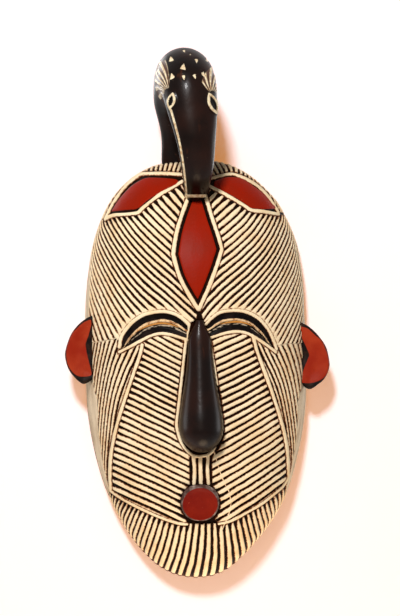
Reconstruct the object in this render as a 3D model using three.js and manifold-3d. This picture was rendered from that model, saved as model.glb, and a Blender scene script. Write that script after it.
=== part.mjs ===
// A carved wooden wall mask: a hollowed oval face with slit eyes and painted fields, a long
// let-in nose, a round mouth plug, two tongued ears, and a long-billed bird pegged to the crown
// whose bill bends down to rest on the forehead.
// Millimetres, +Z up, the face looks along -Y and its flat back rim lies in the plane y = 0.
// The origin is the point where a wall nail carries the mask, at the hanger's middle notch.
import * as THREE from "three";
import { mergeVertices } from "three/addons/utils/BufferGeometryUtils.js";
import Module from "manifold-3d";

const wasm = await Module();
wasm.setup();

// Driving dimensions
const FACE_WIDTH = 193; // across the rim, without the ears
const FACE_HEIGHT = 367; // chin to crown
const FACE_DEPTH = 85; // back rim to the front of the bare dome
const CROWN_Z = FACE_HEIGHT / 2;
const SIDE_WALL = 13; // rim width at the sides
const CHIN_WALL = 14; // rim width at the chin
const CROWN_BLOCK = 46; // solid wood left at the crown for the bird and the hanger
const FRONT_WALL = 14; // wood in front of the hollow
const CLEARANCE = 0.3; // between a piece and what it sits in or on

// How full the outline and the dome are: 2 is an ellipse, more is squarer
const CROWN_FULLNESS = 2.7;
const CHIN_FULLNESS = 2.1;
const DOME_FULLNESS = 2.6;
const HOLLOW_FULLNESS = 2.4;

// Two soft forms on the dome, each with its middle's place and its reach across and up
const BROW_Z = 44; // height of the brows over the face's middle
const FOREHEAD_SWELL = { lift: 3, x: 0, z: BROW_Z + 50, across: 60, up: 48 };
const CHEEK_HOLLOW = { depth: 6, x: 33, z: BROW_Z - 68, across: 24, up: 42 };

// A V gouge makes every carved line, deeper round the fields than in the furrows between them,
// and leaves the wood a little early: endShare is how much of its size is left at a line's ends
const GOUGE = { sides: 4, radius: 4, endShare: 0.6 };
const BORDER = { depth: 1.8, steps: 6 };
const FURROW_DEPTH = 1.4;

const LOZENGE = { halfWidth: 18, top: 144, middle: 101, bottom: 54 };

// The leaves, furrows and eyes: points in shares of the face's half width and half height
const LEAF_TOP = [
  [0.155, 0.899],
  [0.394, 0.905],
  [0.58, 0.845],
  [0.746, 0.752],
];
const LEAF_KNEE = [0.508, 0.752];
const LEAF_INNER = [0.155, 0.861];

// The main furrows: each runs from a point of one line to the point at the same share of the
// other, and the stripes between them are finer than this part goes
const FURROWS = {
  forehead: {
    count: 6,
    steps: 4,
    from: [[0.269, 0.807], [0.508, 0.73], [0.746, 0.698], [0.912, 0.534], [0.953, 0.218]],
    to: [[0.176, 0.741], [0.218, 0.589], [0.145, 0.371], [0.394, 0.278], [0.767, 0.098]],
  },
  cheek: {
    count: 6,
    steps: 3,
    from: [[0.456, 0.131], [0.622, -0.109], [0.715, -0.272], [0.777, -0.501]],
    to: [[0.176, 0.044], [0.238, -0.218], [0.145, -0.436], [0.518, -0.616]],
  },
  side: {
    count: 2,
    steps: 5,
    from: [[0.642, 0.033], [0.974, 0.065]],
    to: [[0.788, -0.512], [0.912, -0.349]],
  },
  chin: {
    count: 3,
    steps: 2,
    from: [[0.01, -0.719], [0.394, -0.659], [0.705, -0.567]],
    to: [[0.01, -0.948], [0.29, -0.883], [0.642, -0.698]],
  },
  crown: {
    count: 2,
    steps: 2,
    from: [[0.145, 0.916], [0.477, 0.899], [0.725, 0.801]],
    to: [[0.187, 0.981], [0.622, 0.937], [0.87, 0.807]],
  },
};

// Eyes: a crescent pocket with a rolled lid above and below a slit that goes right through
const EYE_UPPER = [
  [0.0829, 0.2016],
  [0.2073, 0.2425],
  [0.3523, 0.2561],
  [0.5596, 0.2125],
  [0.6943, 0.0926],
];
const EYE_LOWER = [
  [0.1088, 0.1553],
  [0.3316, 0.188],
  [0.5285, 0.139],
  [0.6943, 0.0926],
];
const EYE_POCKET_DEPTH = 6;
const UPPER_LID = { radius: 2.4, share: 0.12 }; // share: place between the upper and lower arcs
const LOWER_LID = { radius: 3.2, share: 0.88 };
const SLIT = { width: 2, share: 0.46, from: 0.2, to: 0.74 };

// Nose: a long drop, narrow between the brows and full at the tip
const NOSE = { top: 43, bottom: -67, pocket: 2, pegRadius: 3, pegInFace: 8, pegInNose: 9 };
const NOSE_HALF_WIDTH = [3, 9, 10.4, 11.8, 13.8, 16.2, 18.2, 18.6, 17.5];
const NOSE_HEIGHT = [4, 8, 11, 14.5, 18, 22, 26, 28, 27];
const NOSE_TIP = 0.2; // share of the length over which the lower end is rounded off
const NOSE_LEAN = 0.018; // how far its middle line drifts to +X, per millimetre of the way down
const NOSE_PEG_Z = [14, -38];

const MOUTH = { x: 1, z: -111, baseRadius: 16.4, faceRadius: 15.2, height: 4.2, dish: 1 };
const MOUTH_RIM = { bevel: 0.6, drop: 1, width: 1.5, dishShare: 0.6 };
const MOUTH_STEM_RADIUS = 9;
const MOUTH_SEAT = 2; // depth of the flat that the mouth plug sits on, at its shallow edge

// Ears: half-moon plates, set by a tongue in a slot of the side wall
const EAR_OUTLINE = [
  [0, 29],
  [11, 22],
  [20.5, 8],
  [23.5, -8],
  [18, -23],
  [7, -30],
  [0, -28],
];
const EAR = { inset: 5.5, depth: 26, thickness: 11, bevel: 1.2 };
const EAR_SCOOP = { halfWidth: 13, depth: 6, halfHeight: 17, outward: 2, down: 1 };
const EAR_CENTRE_Z = { left: 17.5, right: 13 };
const EAR_ROOT_X = FACE_WIDTH / 2 - EAR.inset;
const EAR_TONGUE = { height: 26, thickness: 6, length: 12, inPlate: 5, backward: 1 };

// Bird: points of its middle line, as [depth off the back plane, height over the crown]
const BIRD_SPINE = [
  [9, -17.5],
  [9, 0.5],
  [17, 23.5],
  [33, 49.5],
  [57, 64.5],
  [79, 56.5],
  [91, 32.5],
  [93, 7.5],
  [82, -16.5],
  [52, -38],
];
const BIRD_HALF_WIDTH = [20.3, 20.3, 19.3, 24.5, 24.7, 23.8, 20.6, 16.2, 12.9, 9.2];
const BIRD_HALF_DEPTH = [7.5, 7.8, 12, 18, 26, 22, 14.5, 11.5, 8.8, 5.5];
const BIRD_BROW = { depth: BIRD_SPINE[5][0], rise: BIRD_SPINE[5][1] };
const BIRD_EYE = { forward: 15.5, below: 16.5, offset: 13.5, slope: 0.5 }; // from the brow
const BIRD_EYE_SIZE = { length: 19, width: 11, proud: 5 };
const BIRD_LEAN = THREE.MathUtils.degToRad(-6); // sideways, about the bill's tip
const BIRD_TURN = THREE.MathUtils.degToRad(5.7); // about the upright, the neck going left
const BILL_TIP = { x: -2.2, depth: 56, belowCrown: 33.5 };
const BILL_TIP_Z = CROWN_Z - BILL_TIP.belowCrown;
const CREST_SEAT = { x: -9.5, halfWidth: 22.8, depth: 18, belowCrown: 12.5 }; // neck's notch
const CREST_SEAT_Z = CROWN_Z - CREST_SEAT.belowCrown;
const NECK_DOWEL = { x: -9.5, depth: 10.5, radius: 3.5, length: 52, below: 24 };
const BILL_PEG = { radius: 2.5, length: 22, belowTip: 2, slope: 0.72 };

// Hanger: a stamped strip with a toothed lower edge, nailed in a rebate of the crown block
const HANGER = { length: 44, height: 9, thickness: 1, tab: 8, lift: 2.2, teeth: 9 };
const HANGER_DROP = 31.5; // hanger's notches below the crown
const HANGER_Z = CROWN_Z - HANGER_DROP;
const TOOTH = { width: 3, depth: 1.5 };
const REBATE = { margin: 3, below: 7, above: 3, depth: 4.5 };
const NAIL = { radius: 0.8, length: 12, headRadius: 1.9, headThickness: 0.6, inset: 3.5 };
const NAIL_POINT = { radius: 0.2, length: 2 };

// Facets
const FACE_AROUND = 60;
const FACE_RINGS = 14;
const HOLLOW_AROUND = 36;
const HOLLOW_RINGS = 9;
const BIRD_RINGS = 28;
const BIRD_AROUND = 20;
const MOUTH_AROUND = 32;
const EAR_STEPS = 20;
const PEG_SIDES = 12;
const PAST = 6; // how far a cutter runs past the wood it cuts

const BLACK = { color: 0x17110f, roughness: 0.35, metalness: 0 };
const CREAM = { color: 0xe9d9b4, roughness: 0.7, metalness: 0 };
const RED = { color: 0x9c2616, roughness: 0.5, metalness: 0 };
const BARE_WOOD = { color: 0xb08a5a, roughness: 0.8, metalness: 0 };
const STEEL = { color: 0xa9a9a6, roughness: 0.4, metalness: 0.9 };

// Solids and geometries
function solidOf(geometry) {
  const bare = geometry.index ? geometry.toNonIndexed() : geometry.clone();
  bare.deleteAttribute("normal");
  bare.deleteAttribute("uv");
  const merged = mergeVertices(bare, 1e-4);
  return new wasm.Manifold(
    new wasm.Mesh({
      numProp: 3,
      vertProperties: new Float32Array(merged.attributes.position.array),
      triVerts: new Uint32Array(merged.index.array),
    }),
  );
}

function geometryOf(solid) {
  const mesh = solid.getMesh();
  const geometry = new THREE.BufferGeometry();
  geometry.setAttribute("position", new THREE.BufferAttribute(mesh.vertProperties, 3));
  geometry.setIndex(new THREE.BufferAttribute(mesh.triVerts, 1));
  const faceted = geometry.toNonIndexed();
  faceted.computeVertexNormals();
  return faceted;
}

// A point given by its place across, its depth off the back plane and its height
const at = (x, depth, z) => new THREE.Vector3(x, -depth, z);

// A closed skin over rings of equally many points, each end closed by a fan
function loft(rings) {
  const count = rings[0].length;
  const middle = (ring) =>
    ring.reduce((sum, p) => sum.add(p), new THREE.Vector3()).divideScalar(count);
  const points = [...rings.flat(), middle(rings[0]), middle(rings.at(-1))];
  const [firstPole, lastPole] = [points.length - 2, points.length - 1];
  const lastRing = (rings.length - 1) * count;
  const faces = [];
  for (let j = 0; j < count; j++) {
    const next = (j + 1) % count;
    faces.push(firstPole, next, j);
    faces.push(lastPole, lastRing + j, lastRing + next);
    for (let i = 0; i < rings.length - 1; i++) {
      const low = i * count;
      const high = low + count;
      faces.push(low + j, low + next, high + next);
      faces.push(low + j, high + next, high + j);
    }
  }
  const geometry = new THREE.BufferGeometry().setFromPoints(points).setIndex(faces);
  const solid = solidOf(geometry);
  if (solid.volume() > 0) return solid;
  for (let i = 0; i < faces.length; i += 3) [faces[i + 1], faces[i + 2]] = [faces[i + 2], faces[i + 1]];
  return solidOf(geometry.setIndex(faces));
}

// An outline in the plane of the face, run from one depth to another
function prism(outline, fromDepth, toDepth) {
  const geometry = new THREE.ExtrudeGeometry(new THREE.Shape(flat(outline)), {
    depth: toDepth - fromDepth,
    bevelEnabled: false,
  });
  geometry.rotateX(Math.PI / 2).translate(0, -fromDepth, 0);
  return solidOf(geometry);
}

function box(width, depth, height, x, atDepth, z) {
  return solidOf(new THREE.BoxGeometry(width, depth, height).translate(x, -atDepth, z));
}

// A round bar between two points
function bar(radius, from, to, sides = PEG_SIDES) {
  const along = to.clone().sub(from);
  const geometry = new THREE.CylinderGeometry(radius, radius, along.length(), sides);
  const turn = new THREE.Quaternion().setFromUnitVectors(
    new THREE.Vector3(0, 1, 0),
    along.clone().normalize(),
  );
  geometry.applyQuaternion(turn);
  const middle = from.clone().lerp(to, 0.5);
  geometry.translate(middle.x, middle.y, middle.z);
  return solidOf(geometry);
}

// A smooth curve through evenly spaced values, as a function of 0 to 1
function smooth(values) {
  const curve = new THREE.SplineCurve(values.map((v, i) => new THREE.Vector2(i, v)));
  return (t) => curve.getPoint(Math.min(1, Math.max(0, t))).y;
}

const flat = (points) => points.map(([x, z]) => new THREE.Vector2(x, z));
const flatLine = (points) => new THREE.SplineCurve(flat(points));
const mirrored = (points) => points.map(([x, z]) => [-x, z]);
const drawn = (points) => points.map(([x, z]) => [(x * FACE_WIDTH) / 2, (z * FACE_HEIGHT) / 2]);

// The dome of the face
const fullness = (z) => (z > 0 ? CROWN_FULLNESS : CHIN_FULLNESS);

function relief(x, z) {
  const bump = (value, middle, reach) => Math.exp(-(((value - middle) / reach) ** 2));
  const near = (form) => bump(Math.abs(x), form.x, form.across) * bump(z, form.z, form.up);
  return FOREHEAD_SWELL.lift * near(FOREHEAD_SWELL) - CHEEK_HOLLOW.depth * near(CHEEK_HOLLOW);
}

// The face solid, drawn in on every side by the same distance
function dome(inset, backDepth = 0) {
  const [halfWidth, halfHeight] = [FACE_WIDTH / 2 - inset, FACE_HEIGHT / 2 - inset];
  const depth = FACE_DEPTH - inset;
  const ring = (share, ringDepth) =>
    Array.from({ length: FACE_AROUND }, (_, j) => {
      const angle = (j / FACE_AROUND) * 2 * Math.PI;
      const [c, s] = [Math.cos(angle), Math.sin(angle)];
      const power = 2 / fullness(s);
      const x = share * halfWidth * Math.sign(c) * Math.abs(c) ** power;
      const z = share * halfHeight * Math.sign(s) * Math.abs(s) ** power;
      return at(x, ringDepth > 0 ? ringDepth + relief(x, z) * (1 - share ** 4) : ringDepth, z);
    });
  const rings = Array.from({ length: FACE_RINGS }, (_, i) => {
    const angle = (Math.PI / 2) * (1 - i / FACE_RINGS);
    return ring(Math.sin(angle) ** (2 / DOME_FULLNESS), i ? depth * Math.cos(angle) : 0);
  });
  return loft(backDepth < 0 ? [ring(1, backDepth), ...rings] : rings);
}

// Depth of the dome at a point of the face, drawn in like the solid above
function domeDepth(x, z, inset = 0) {
  const [halfWidth, halfHeight] = [FACE_WIDTH / 2 - inset, FACE_HEIGHT / 2 - inset];
  const n = fullness(z);
  const share = (Math.abs(x / halfWidth) ** n + Math.abs(z / halfHeight) ** n) ** (1 / n);
  if (share >= 1) return 0;
  const bare = (FACE_DEPTH - inset) * Math.sqrt(1 - share ** DOME_FULLNESS);
  return bare + relief(x, z) * (1 - share ** 4);
}

const hollowTop = CROWN_Z - CROWN_BLOCK;
const hollowBottom = CHIN_WALL - CROWN_Z;

function hollow() {
  const halfWidth = FACE_WIDTH / 2 - SIDE_WALL;
  const halfHeight = (hollowTop - hollowBottom) / 2;
  const middle = (hollowTop + hollowBottom) / 2;
  const depth = FACE_DEPTH - FRONT_WALL;
  const ring = (share, ringDepth) =>
    Array.from({ length: HOLLOW_AROUND }, (_, j) => {
      const angle = (j / HOLLOW_AROUND) * 2 * Math.PI;
      const [c, s] = [Math.cos(angle), Math.sin(angle)];
      const power = 2 / HOLLOW_FULLNESS;
      const x = share * halfWidth * Math.sign(c) * Math.abs(c) ** power;
      return at(x, ringDepth, middle + share * halfHeight * Math.sign(s) * Math.abs(s) ** power);
    });
  const rings = Array.from({ length: HOLLOW_RINGS }, (_, i) => {
    const angle = (Math.PI / 2) * (1 - i / HOLLOW_RINGS);
    return ring(Math.sin(angle) ** (2 / HOLLOW_FULLNESS), depth * Math.cos(angle));
  });
  return loft([ring(1, -PAST), ...rings]);
}

// What a pocket of an even depth takes off the face inside an outline
function pocket(outline, depth, floor = dome(depth, -PAST)) {
  return prism(outline, 0, FACE_DEPTH + PAST * 2).subtract(floor);
}

// One stroke of the gouge along a line of the face, thinned where it starts and ends
function gougeStroke(points, depth, steps, side = 1) {
  const { sides, radius, endShare } = GOUGE;
  const line = flatLine(points);
  const onFace = (t) => {
    const p = line.getPoint(t);
    return at(side * p.x, domeDepth(p.x, p.y), p.y);
  };
  return loft(
    Array.from({ length: steps + 1 }, (_, i) => {
      const t = i / steps;
      const middle = onFace(t);
      const along = onFace(Math.min(1, t + 0.02)).sub(onFace(Math.max(0, t - 0.02))).normalize();
      const across = along.clone().cross(new THREE.Vector3(0, -1, 0)).normalize();
      const up = across.clone().cross(along);
      const share = i > 0 && i < steps ? 1 : endShare;
      return Array.from({ length: sides }, (_, j) => {
        const angle = (j / sides) * 2 * Math.PI - Math.PI / 2;
        const spoke = across.clone().multiplyScalar(share * radius * Math.cos(angle));
        const rise = share * (radius * Math.sin(angle) + radius - depth);
        return spoke.addScaledVector(up, rise).add(middle);
      });
    }),
  );
}

const lozengeCorners = [
  [0, LOZENGE.top],
  [-LOZENGE.halfWidth, LOZENGE.middle],
  [0, LOZENGE.bottom],
  [LOZENGE.halfWidth, LOZENGE.middle],
];
const lozengeStrokes = lozengeCorners.map((corner, i) => [corner, lozengeCorners[(i + 1) % 4]]);
const leafStrokes = [
  LEAF_TOP,
  [LEAF_TOP.at(-1), LEAF_KNEE],
  [LEAF_KNEE, LEAF_INNER],
  [LEAF_INNER, LEAF_TOP[0]],
].map(drawn);

function furrows({ count, steps, from, to }, side) {
  return Array.from({ length: count }, (_, i) => {
    const share = (i + 0.5) / count;
    const ends = [from, to].map((points) => flatLine(drawn(points)).getPoint(share).toArray());
    return gougeStroke(ends, FURROW_DEPTH, steps, side);
  });
}

// A point of an eye, by its share of the way out from the nose and down from the upper arc
function eyePoint(along, down) {
  const [upper, lower] = [EYE_UPPER, EYE_LOWER].map((points) => flatLine(drawn(points)));
  return upper.getPoint(along).lerp(lower.getPoint(along), down);
}

const EYE_STEPS = 12;
const eyeSteps = (from, to) =>
  Array.from({ length: EYE_STEPS + 1 }, (_, i) => from + ((to - from) * i) / EYE_STEPS);

function eyeOutline() {
  const edge = (down) => eyeSteps(0, 1).map((t) => eyePoint(t, down).toArray());
  return [...edge(0), ...edge(1).reverse().slice(1)];
}

// A roll along an eye, its ends thinned into the corners
function lid({ radius, share }, side) {
  const sides = 8;
  return loft(
    eyeSteps(0.05, 0.93).map((t) => {
      const p = eyePoint(t, share);
      const size = radius * Math.min(1, eyePoint(t, 0).distanceTo(eyePoint(t, 1)) / 11);
      const middle = domeDepth(p.x, p.y, EYE_POCKET_DEPTH) + size * 0.4;
      return Array.from({ length: sides }, (_, j) => {
        const angle = (j / sides) * 2 * Math.PI;
        return at(side * p.x, middle + size * 1.5 * Math.sin(angle), p.y + size * Math.cos(angle));
      });
    }),
  );
}

function eyeSlit() {
  const upper = [];
  const lower = [];
  for (const t of eyeSteps(SLIT.from, SLIT.to)) {
    const p = eyePoint(t, SLIT.share);
    const taper = Math.sin((Math.PI * (t - SLIT.from)) / (SLIT.to - SLIT.from));
    const half = (SLIT.width / 2) * (0.35 + 0.65 * taper);
    upper.push([p.x, p.y + half]);
    lower.unshift([p.x, p.y - half]);
  }
  return [...upper, ...lower];
}

// Nose
const NOSE_ROWS = 18;
const noseEnd = (t) => Math.sqrt(1 - 0.93 * Math.max(0, (t - 1 + NOSE_TIP) / NOSE_TIP) ** 2.2);
const noseHalfWidth = (t) => smooth(NOSE_HALF_WIDTH)(t) * noseEnd(t);
const noseHeight = (t) => smooth(NOSE_HEIGHT)(t) * noseEnd(t);
const noseMiddle = (z) => NOSE_LEAN * (NOSE.top - z);

function noseOutline(grow) {
  const right = [];
  const left = [];
  for (let i = 0; i <= NOSE_ROWS; i++) {
    const t = i / NOSE_ROWS;
    const z = NOSE.top + grow - (NOSE.top - NOSE.bottom + 2 * grow) * t;
    const half = noseHalfWidth(t) + grow;
    right.push([noseMiddle(z) + half, z]);
    left.unshift([noseMiddle(z) - half, z]);
  }
  return [...right, ...left];
}

function noseBody() {
  const across = 12;
  const rows = [];
  for (let i = 0; i <= NOSE_ROWS; i++) {
    const t = i / NOSE_ROWS;
    const z = NOSE.top + (NOSE.bottom - NOSE.top) * t;
    const half = noseHalfWidth(t);
    const middle = noseMiddle(z);
    const row = [];
    for (let j = 0; j <= across; j++) {
      const angle = (j / across) * Math.PI;
      const lift = noseHeight(t) * Math.sin(angle) ** 0.85;
      row.push(at(middle - half * Math.cos(angle), domeDepth(0, z) + lift, z));
    }
    const back = FACE_DEPTH - FRONT_WALL;
    row.push(at(middle + half, back, z), at(middle - half, back, z));
    rows.push(row);
  }
  return loft(rows).subtract(dome(NOSE.pocket - CLEARANCE, -PAST));
}

const nosePegs = NOSE_PEG_Z.map((z) => {
  const seat = domeDepth(0, z) - NOSE.pocket;
  const x = noseMiddle(z);
  return { from: at(x, seat - NOSE.pegInFace, z), to: at(x, seat + NOSE.pegInNose, z) };
});

// A hole for a bar, deeper and wider than the bar by the clearance
function hole(radius, from, to) {
  const extra = to.clone().sub(from).normalize().multiplyScalar(CLEARANCE);
  return bar(radius + CLEARANCE, from.clone().sub(extra), to.clone().add(extra));
}

// Mouth: a round plug square to the face, which leans down there
const mouthSlope = (domeDepth(MOUTH.x, MOUTH.z + 12) - domeDepth(MOUTH.x, MOUTH.z - 12)) / 24;
const mouthTilt = Math.atan(mouthSlope);
const mouthSeatDepth = domeDepth(MOUTH.x, MOUTH.z) - MOUTH_SEAT;
const mouthAxis = new THREE.Vector3(0, -Math.cos(mouthTilt), -Math.sin(mouthTilt));
const mouthSeat = at(MOUTH.x, mouthSeatDepth, MOUTH.z);

function mouthPlug() {
  const { baseRadius, faceRadius, height, dish } = MOUTH;
  const wall = FRONT_WALL - MOUTH_SEAT;
  const top = height + MOUTH_SEAT;
  const profile = flat([
    [0, -wall],
    [MOUTH_STEM_RADIUS, -wall],
    [MOUTH_STEM_RADIUS, CLEARANCE],
    [baseRadius, CLEARANCE],
    [baseRadius, MOUTH_SEAT],
    [faceRadius + MOUTH_RIM.bevel, top - MOUTH_RIM.drop],
    [faceRadius, top],
    [faceRadius - MOUTH_RIM.width, top],
    [faceRadius * MOUTH_RIM.dishShare, top - dish],
    [0, top - dish],
  ]);
  const geometry = new THREE.LatheGeometry(profile, MOUTH_AROUND);
  geometry.applyQuaternion(
    new THREE.Quaternion().setFromUnitVectors(new THREE.Vector3(0, 1, 0), mouthAxis),
  );
  geometry.translate(mouthSeat.x, mouthSeat.y, mouthSeat.z);
  return solidOf(geometry);
}

function mouthCut() {
  const out = (length) => mouthAxis.clone().multiplyScalar(length).add(mouthSeat);
  const seat = bar(MOUTH.baseRadius + CLEARANCE, mouthSeat, out(FACE_DEPTH), MOUTH_AROUND);
  const bore = bar(MOUTH_STEM_RADIUS + CLEARANCE, out(-FACE_DEPTH / 2), out(PAST), MOUTH_AROUND);
  return seat.add(bore);
}

// Ears
function earBody(side) {
  const { depth, thickness, bevel } = EAR;
  const rim = flatLine(EAR_OUTLINE).getPoints(EAR_STEPS).map(({ x, y }) => [x + PAST, y]);
  const inner = [[0, EAR_OUTLINE.at(-1)[1]], [0, EAR_OUTLINE[0][1]]];
  const plate = new THREE.ExtrudeGeometry(new THREE.Shape(flat([...rim, ...inner])), {
    depth: thickness - 2 * bevel,
    bevelThickness: bevel,
    bevelSize: bevel,
    bevelOffset: -bevel,
    bevelSegments: 2,
  });
  plate.rotateX(Math.PI / 2).translate(EAR_ROOT_X - PAST, -depth - bevel, EAR_CENTRE_Z[side]);
  const scoop = new THREE.SphereGeometry(1, 16, 10);
  const { outward, down } = EAR_SCOOP;
  scoop.scale(EAR_SCOOP.halfWidth, EAR_SCOOP.depth, EAR_SCOOP.halfHeight);
  scoop.translate(EAR_ROOT_X + outward, -depth - thickness, EAR_CENTRE_Z[side] - down);
  return solidOf(plate).subtract(solidOf(scoop)).subtract(dome(-CLEARANCE, -PAST));
}

function earTongue(side, grow) {
  const { height, thickness, length, inPlate, backward } = EAR_TONGUE;
  return box(
    length + grow * 2,
    thickness + grow * 2,
    height + grow * 2,
    EAR_ROOT_X + inPlate - length / 2,
    EAR.depth + EAR.thickness / 2 - backward,
    EAR_CENTRE_Z[side],
  );
}

const flipped = (solid) => solid.mirror([1, 0, 0]);
const toSide = (solid, side) => (side === "left" ? flipped(solid) : solid);

// Bird
function birdBody() {
  const spine = BIRD_SPINE.map(([depth, rise]) => at(0, depth, CROWN_Z + rise));
  const line = new THREE.CatmullRomCurve3(spine);
  const [widthAt, thicknessAt] = [smooth(BIRD_HALF_WIDTH), smooth(BIRD_HALF_DEPTH)];
  const rings = Array.from({ length: BIRD_RINGS + 1 }, (_, i) => {
    const t = i / BIRD_RINGS;
    const middle = line.getPoint(t);
    const along = line.getTangent(t);
    const up = new THREE.Vector3(1, 0, 0).cross(along);
    return Array.from({ length: BIRD_AROUND }, (_, j) => {
      const angle = (j / BIRD_AROUND) * 2 * Math.PI;
      const out = up.clone().multiplyScalar(thicknessAt(t) * Math.sin(angle));
      return out.add(middle).add(new THREE.Vector3(widthAt(t) * Math.cos(angle), 0, 0));
    });
  });
  return loft(rings);
}

const birdPose = new THREE.Matrix4()
  .makeTranslation(BILL_TIP.x, -BILL_TIP.depth, BILL_TIP_Z)
  .multiply(new THREE.Matrix4().makeRotationY(BIRD_LEAN))
  .multiply(new THREE.Matrix4().makeRotationZ(BIRD_TURN))
  .multiply(new THREE.Matrix4().makeTranslation(0, BILL_TIP.depth, -BILL_TIP_Z));

function birdEye(side) {
  const eye = new THREE.SphereGeometry(1, 14, 10);
  const { length, width, proud } = BIRD_EYE_SIZE;
  eye.scale(proud, width / 2, length / 2);
  eye.rotateX(BIRD_EYE.slope);
  const rise = BIRD_BROW.rise - BIRD_EYE.below;
  eye.translate(side * BIRD_EYE.offset, -BIRD_BROW.depth - BIRD_EYE.forward, CROWN_Z + rise);
  return solidOf(eye);
}

const dowelFoot = at(NECK_DOWEL.x, NECK_DOWEL.depth, CREST_SEAT_Z - NECK_DOWEL.below);
const dowelHead = dowelFoot.clone().add(new THREE.Vector3(0, 0, NECK_DOWEL.length));

const billEndZ = BILL_TIP_Z - BILL_PEG.belowTip;
const billEnd = at(BILL_TIP.x, domeDepth(BILL_TIP.x, billEndZ), billEndZ);
const billDirection = at(0, 1, BILL_PEG.slope).normalize();
const pegFoot = billEnd.clone().addScaledVector(billDirection, -BILL_PEG.length / 2);
const pegHead = billEnd.clone().addScaledVector(billDirection, BILL_PEG.length / 2);

function bird() {
  const body = birdBody()
    .add(birdEye(-1))
    .add(birdEye(1))
    .transform(birdPose.toArray());
  const wall = box(FACE_WIDTH, FACE_DEPTH, FACE_HEIGHT, 0, CLEARANCE - FACE_DEPTH / 2, CREST_SEAT_Z);
  const foot = crestSeat(-CLEARANCE).intersect(dome(0));
  return body
    .subtract(dome(-CLEARANCE, -PAST).subtract(crestSeat(-CLEARANCE)))
    .add(foot)
    .subtract(wall)
    .subtract(hole(NECK_DOWEL.radius, dowelFoot, dowelHead))
    .subtract(hole(BILL_PEG.radius, pegFoot, pegHead));
}

// The flat-bottomed notch in the crown, open at the back, that holds the neck's foot
function crestSeat(grow) {
  const { x, halfWidth, depth } = CREST_SEAT;
  const [width, height] = [2 * (halfWidth + grow), CROWN_BLOCK];
  const bottom = CREST_SEAT_Z - grow;
  return box(width, depth + grow + PAST, height, x, (depth + grow - PAST) / 2, bottom + height / 2);
}

// Hanger and nails
const hangerBack = REBATE.depth - CLEARANCE; // depth of the tabs' wood side
const nailX = HANGER.length / 2 - NAIL.inset;
const nailZ = HANGER_Z + HANGER.height / 2;

function hangerRebate() {
  const width = HANGER.length + 2 * REBATE.margin;
  const height = HANGER.height + REBATE.below + REBATE.above;
  const middle = HANGER_Z + (HANGER.height + REBATE.above - REBATE.below) / 2;
  return box(width, REBATE.depth * 2, height, 0, 0, middle);
}

function hangerStrip() {
  const half = HANGER.length / 2;
  const { tab, lift, thickness } = HANGER;
  const woodSide = [
    [-half, hangerBack],
    [-half + tab, hangerBack],
    [-half + tab + lift, hangerBack - lift],
    [half - tab - lift, hangerBack - lift],
    [half - tab, hangerBack],
    [half, hangerBack],
  ];
  const outline = [...woodSide, ...woodSide.map(([x, d]) => [x, d - thickness]).reverse()];
  const shape = new THREE.Shape(flat(outline.map(([x, d]) => [x, -d])));
  const strip = new THREE.ExtrudeGeometry(shape, { depth: HANGER.height, bevelEnabled: false });
  let solid = solidOf(strip.translate(0, 0, HANGER_Z - TOOTH.depth));
  const notch = [
    [-TOOTH.width / 2, -PAST],
    [-TOOTH.width / 2, 0],
    [0, TOOTH.depth],
    [TOOTH.width / 2, 0],
    [TOOTH.width / 2, -PAST],
  ];
  for (let i = 0; i < HANGER.teeth; i++) {
    const x = (i - (HANGER.teeth - 1) / 2) * TOOTH.width;
    const moved = notch.map(([dx, dz]) => [x + dx, HANGER_Z - TOOTH.depth + dz]);
    solid = solid.subtract(prism(moved, -PAST, REBATE.depth));
  }
  for (const side of [-1, 1]) {
    const [from, to] = [at(side * nailX, -PAST, nailZ), at(side * nailX, REBATE.depth, nailZ)];
    solid = solid.subtract(bar(NAIL.radius + CLEARANCE, from, to));
  }
  return solid;
}

function nail(side) {
  const face = hangerBack - HANGER.thickness - CLEARANCE;
  const profile = flat([
    [0, 0],
    [NAIL_POINT.radius, 0],
    [NAIL.radius, NAIL_POINT.length],
    [NAIL.radius, NAIL.length],
    [NAIL.headRadius, NAIL.length],
    [NAIL.headRadius, NAIL.length + NAIL.headThickness],
    [0, NAIL.length + NAIL.headThickness],
  ]);
  const geometry = new THREE.LatheGeometry(profile, PEG_SIDES);
  geometry.translate(side * nailX, -face - NAIL.length, nailZ);
  return solidOf(geometry);
}

function nailHole(side) {
  const tip = hangerBack - HANGER.thickness + NAIL.length;
  return bar(NAIL.radius + CLEARANCE, at(side * nailX, 0, nailZ), at(side * nailX, tip + 1, nailZ));
}

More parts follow.
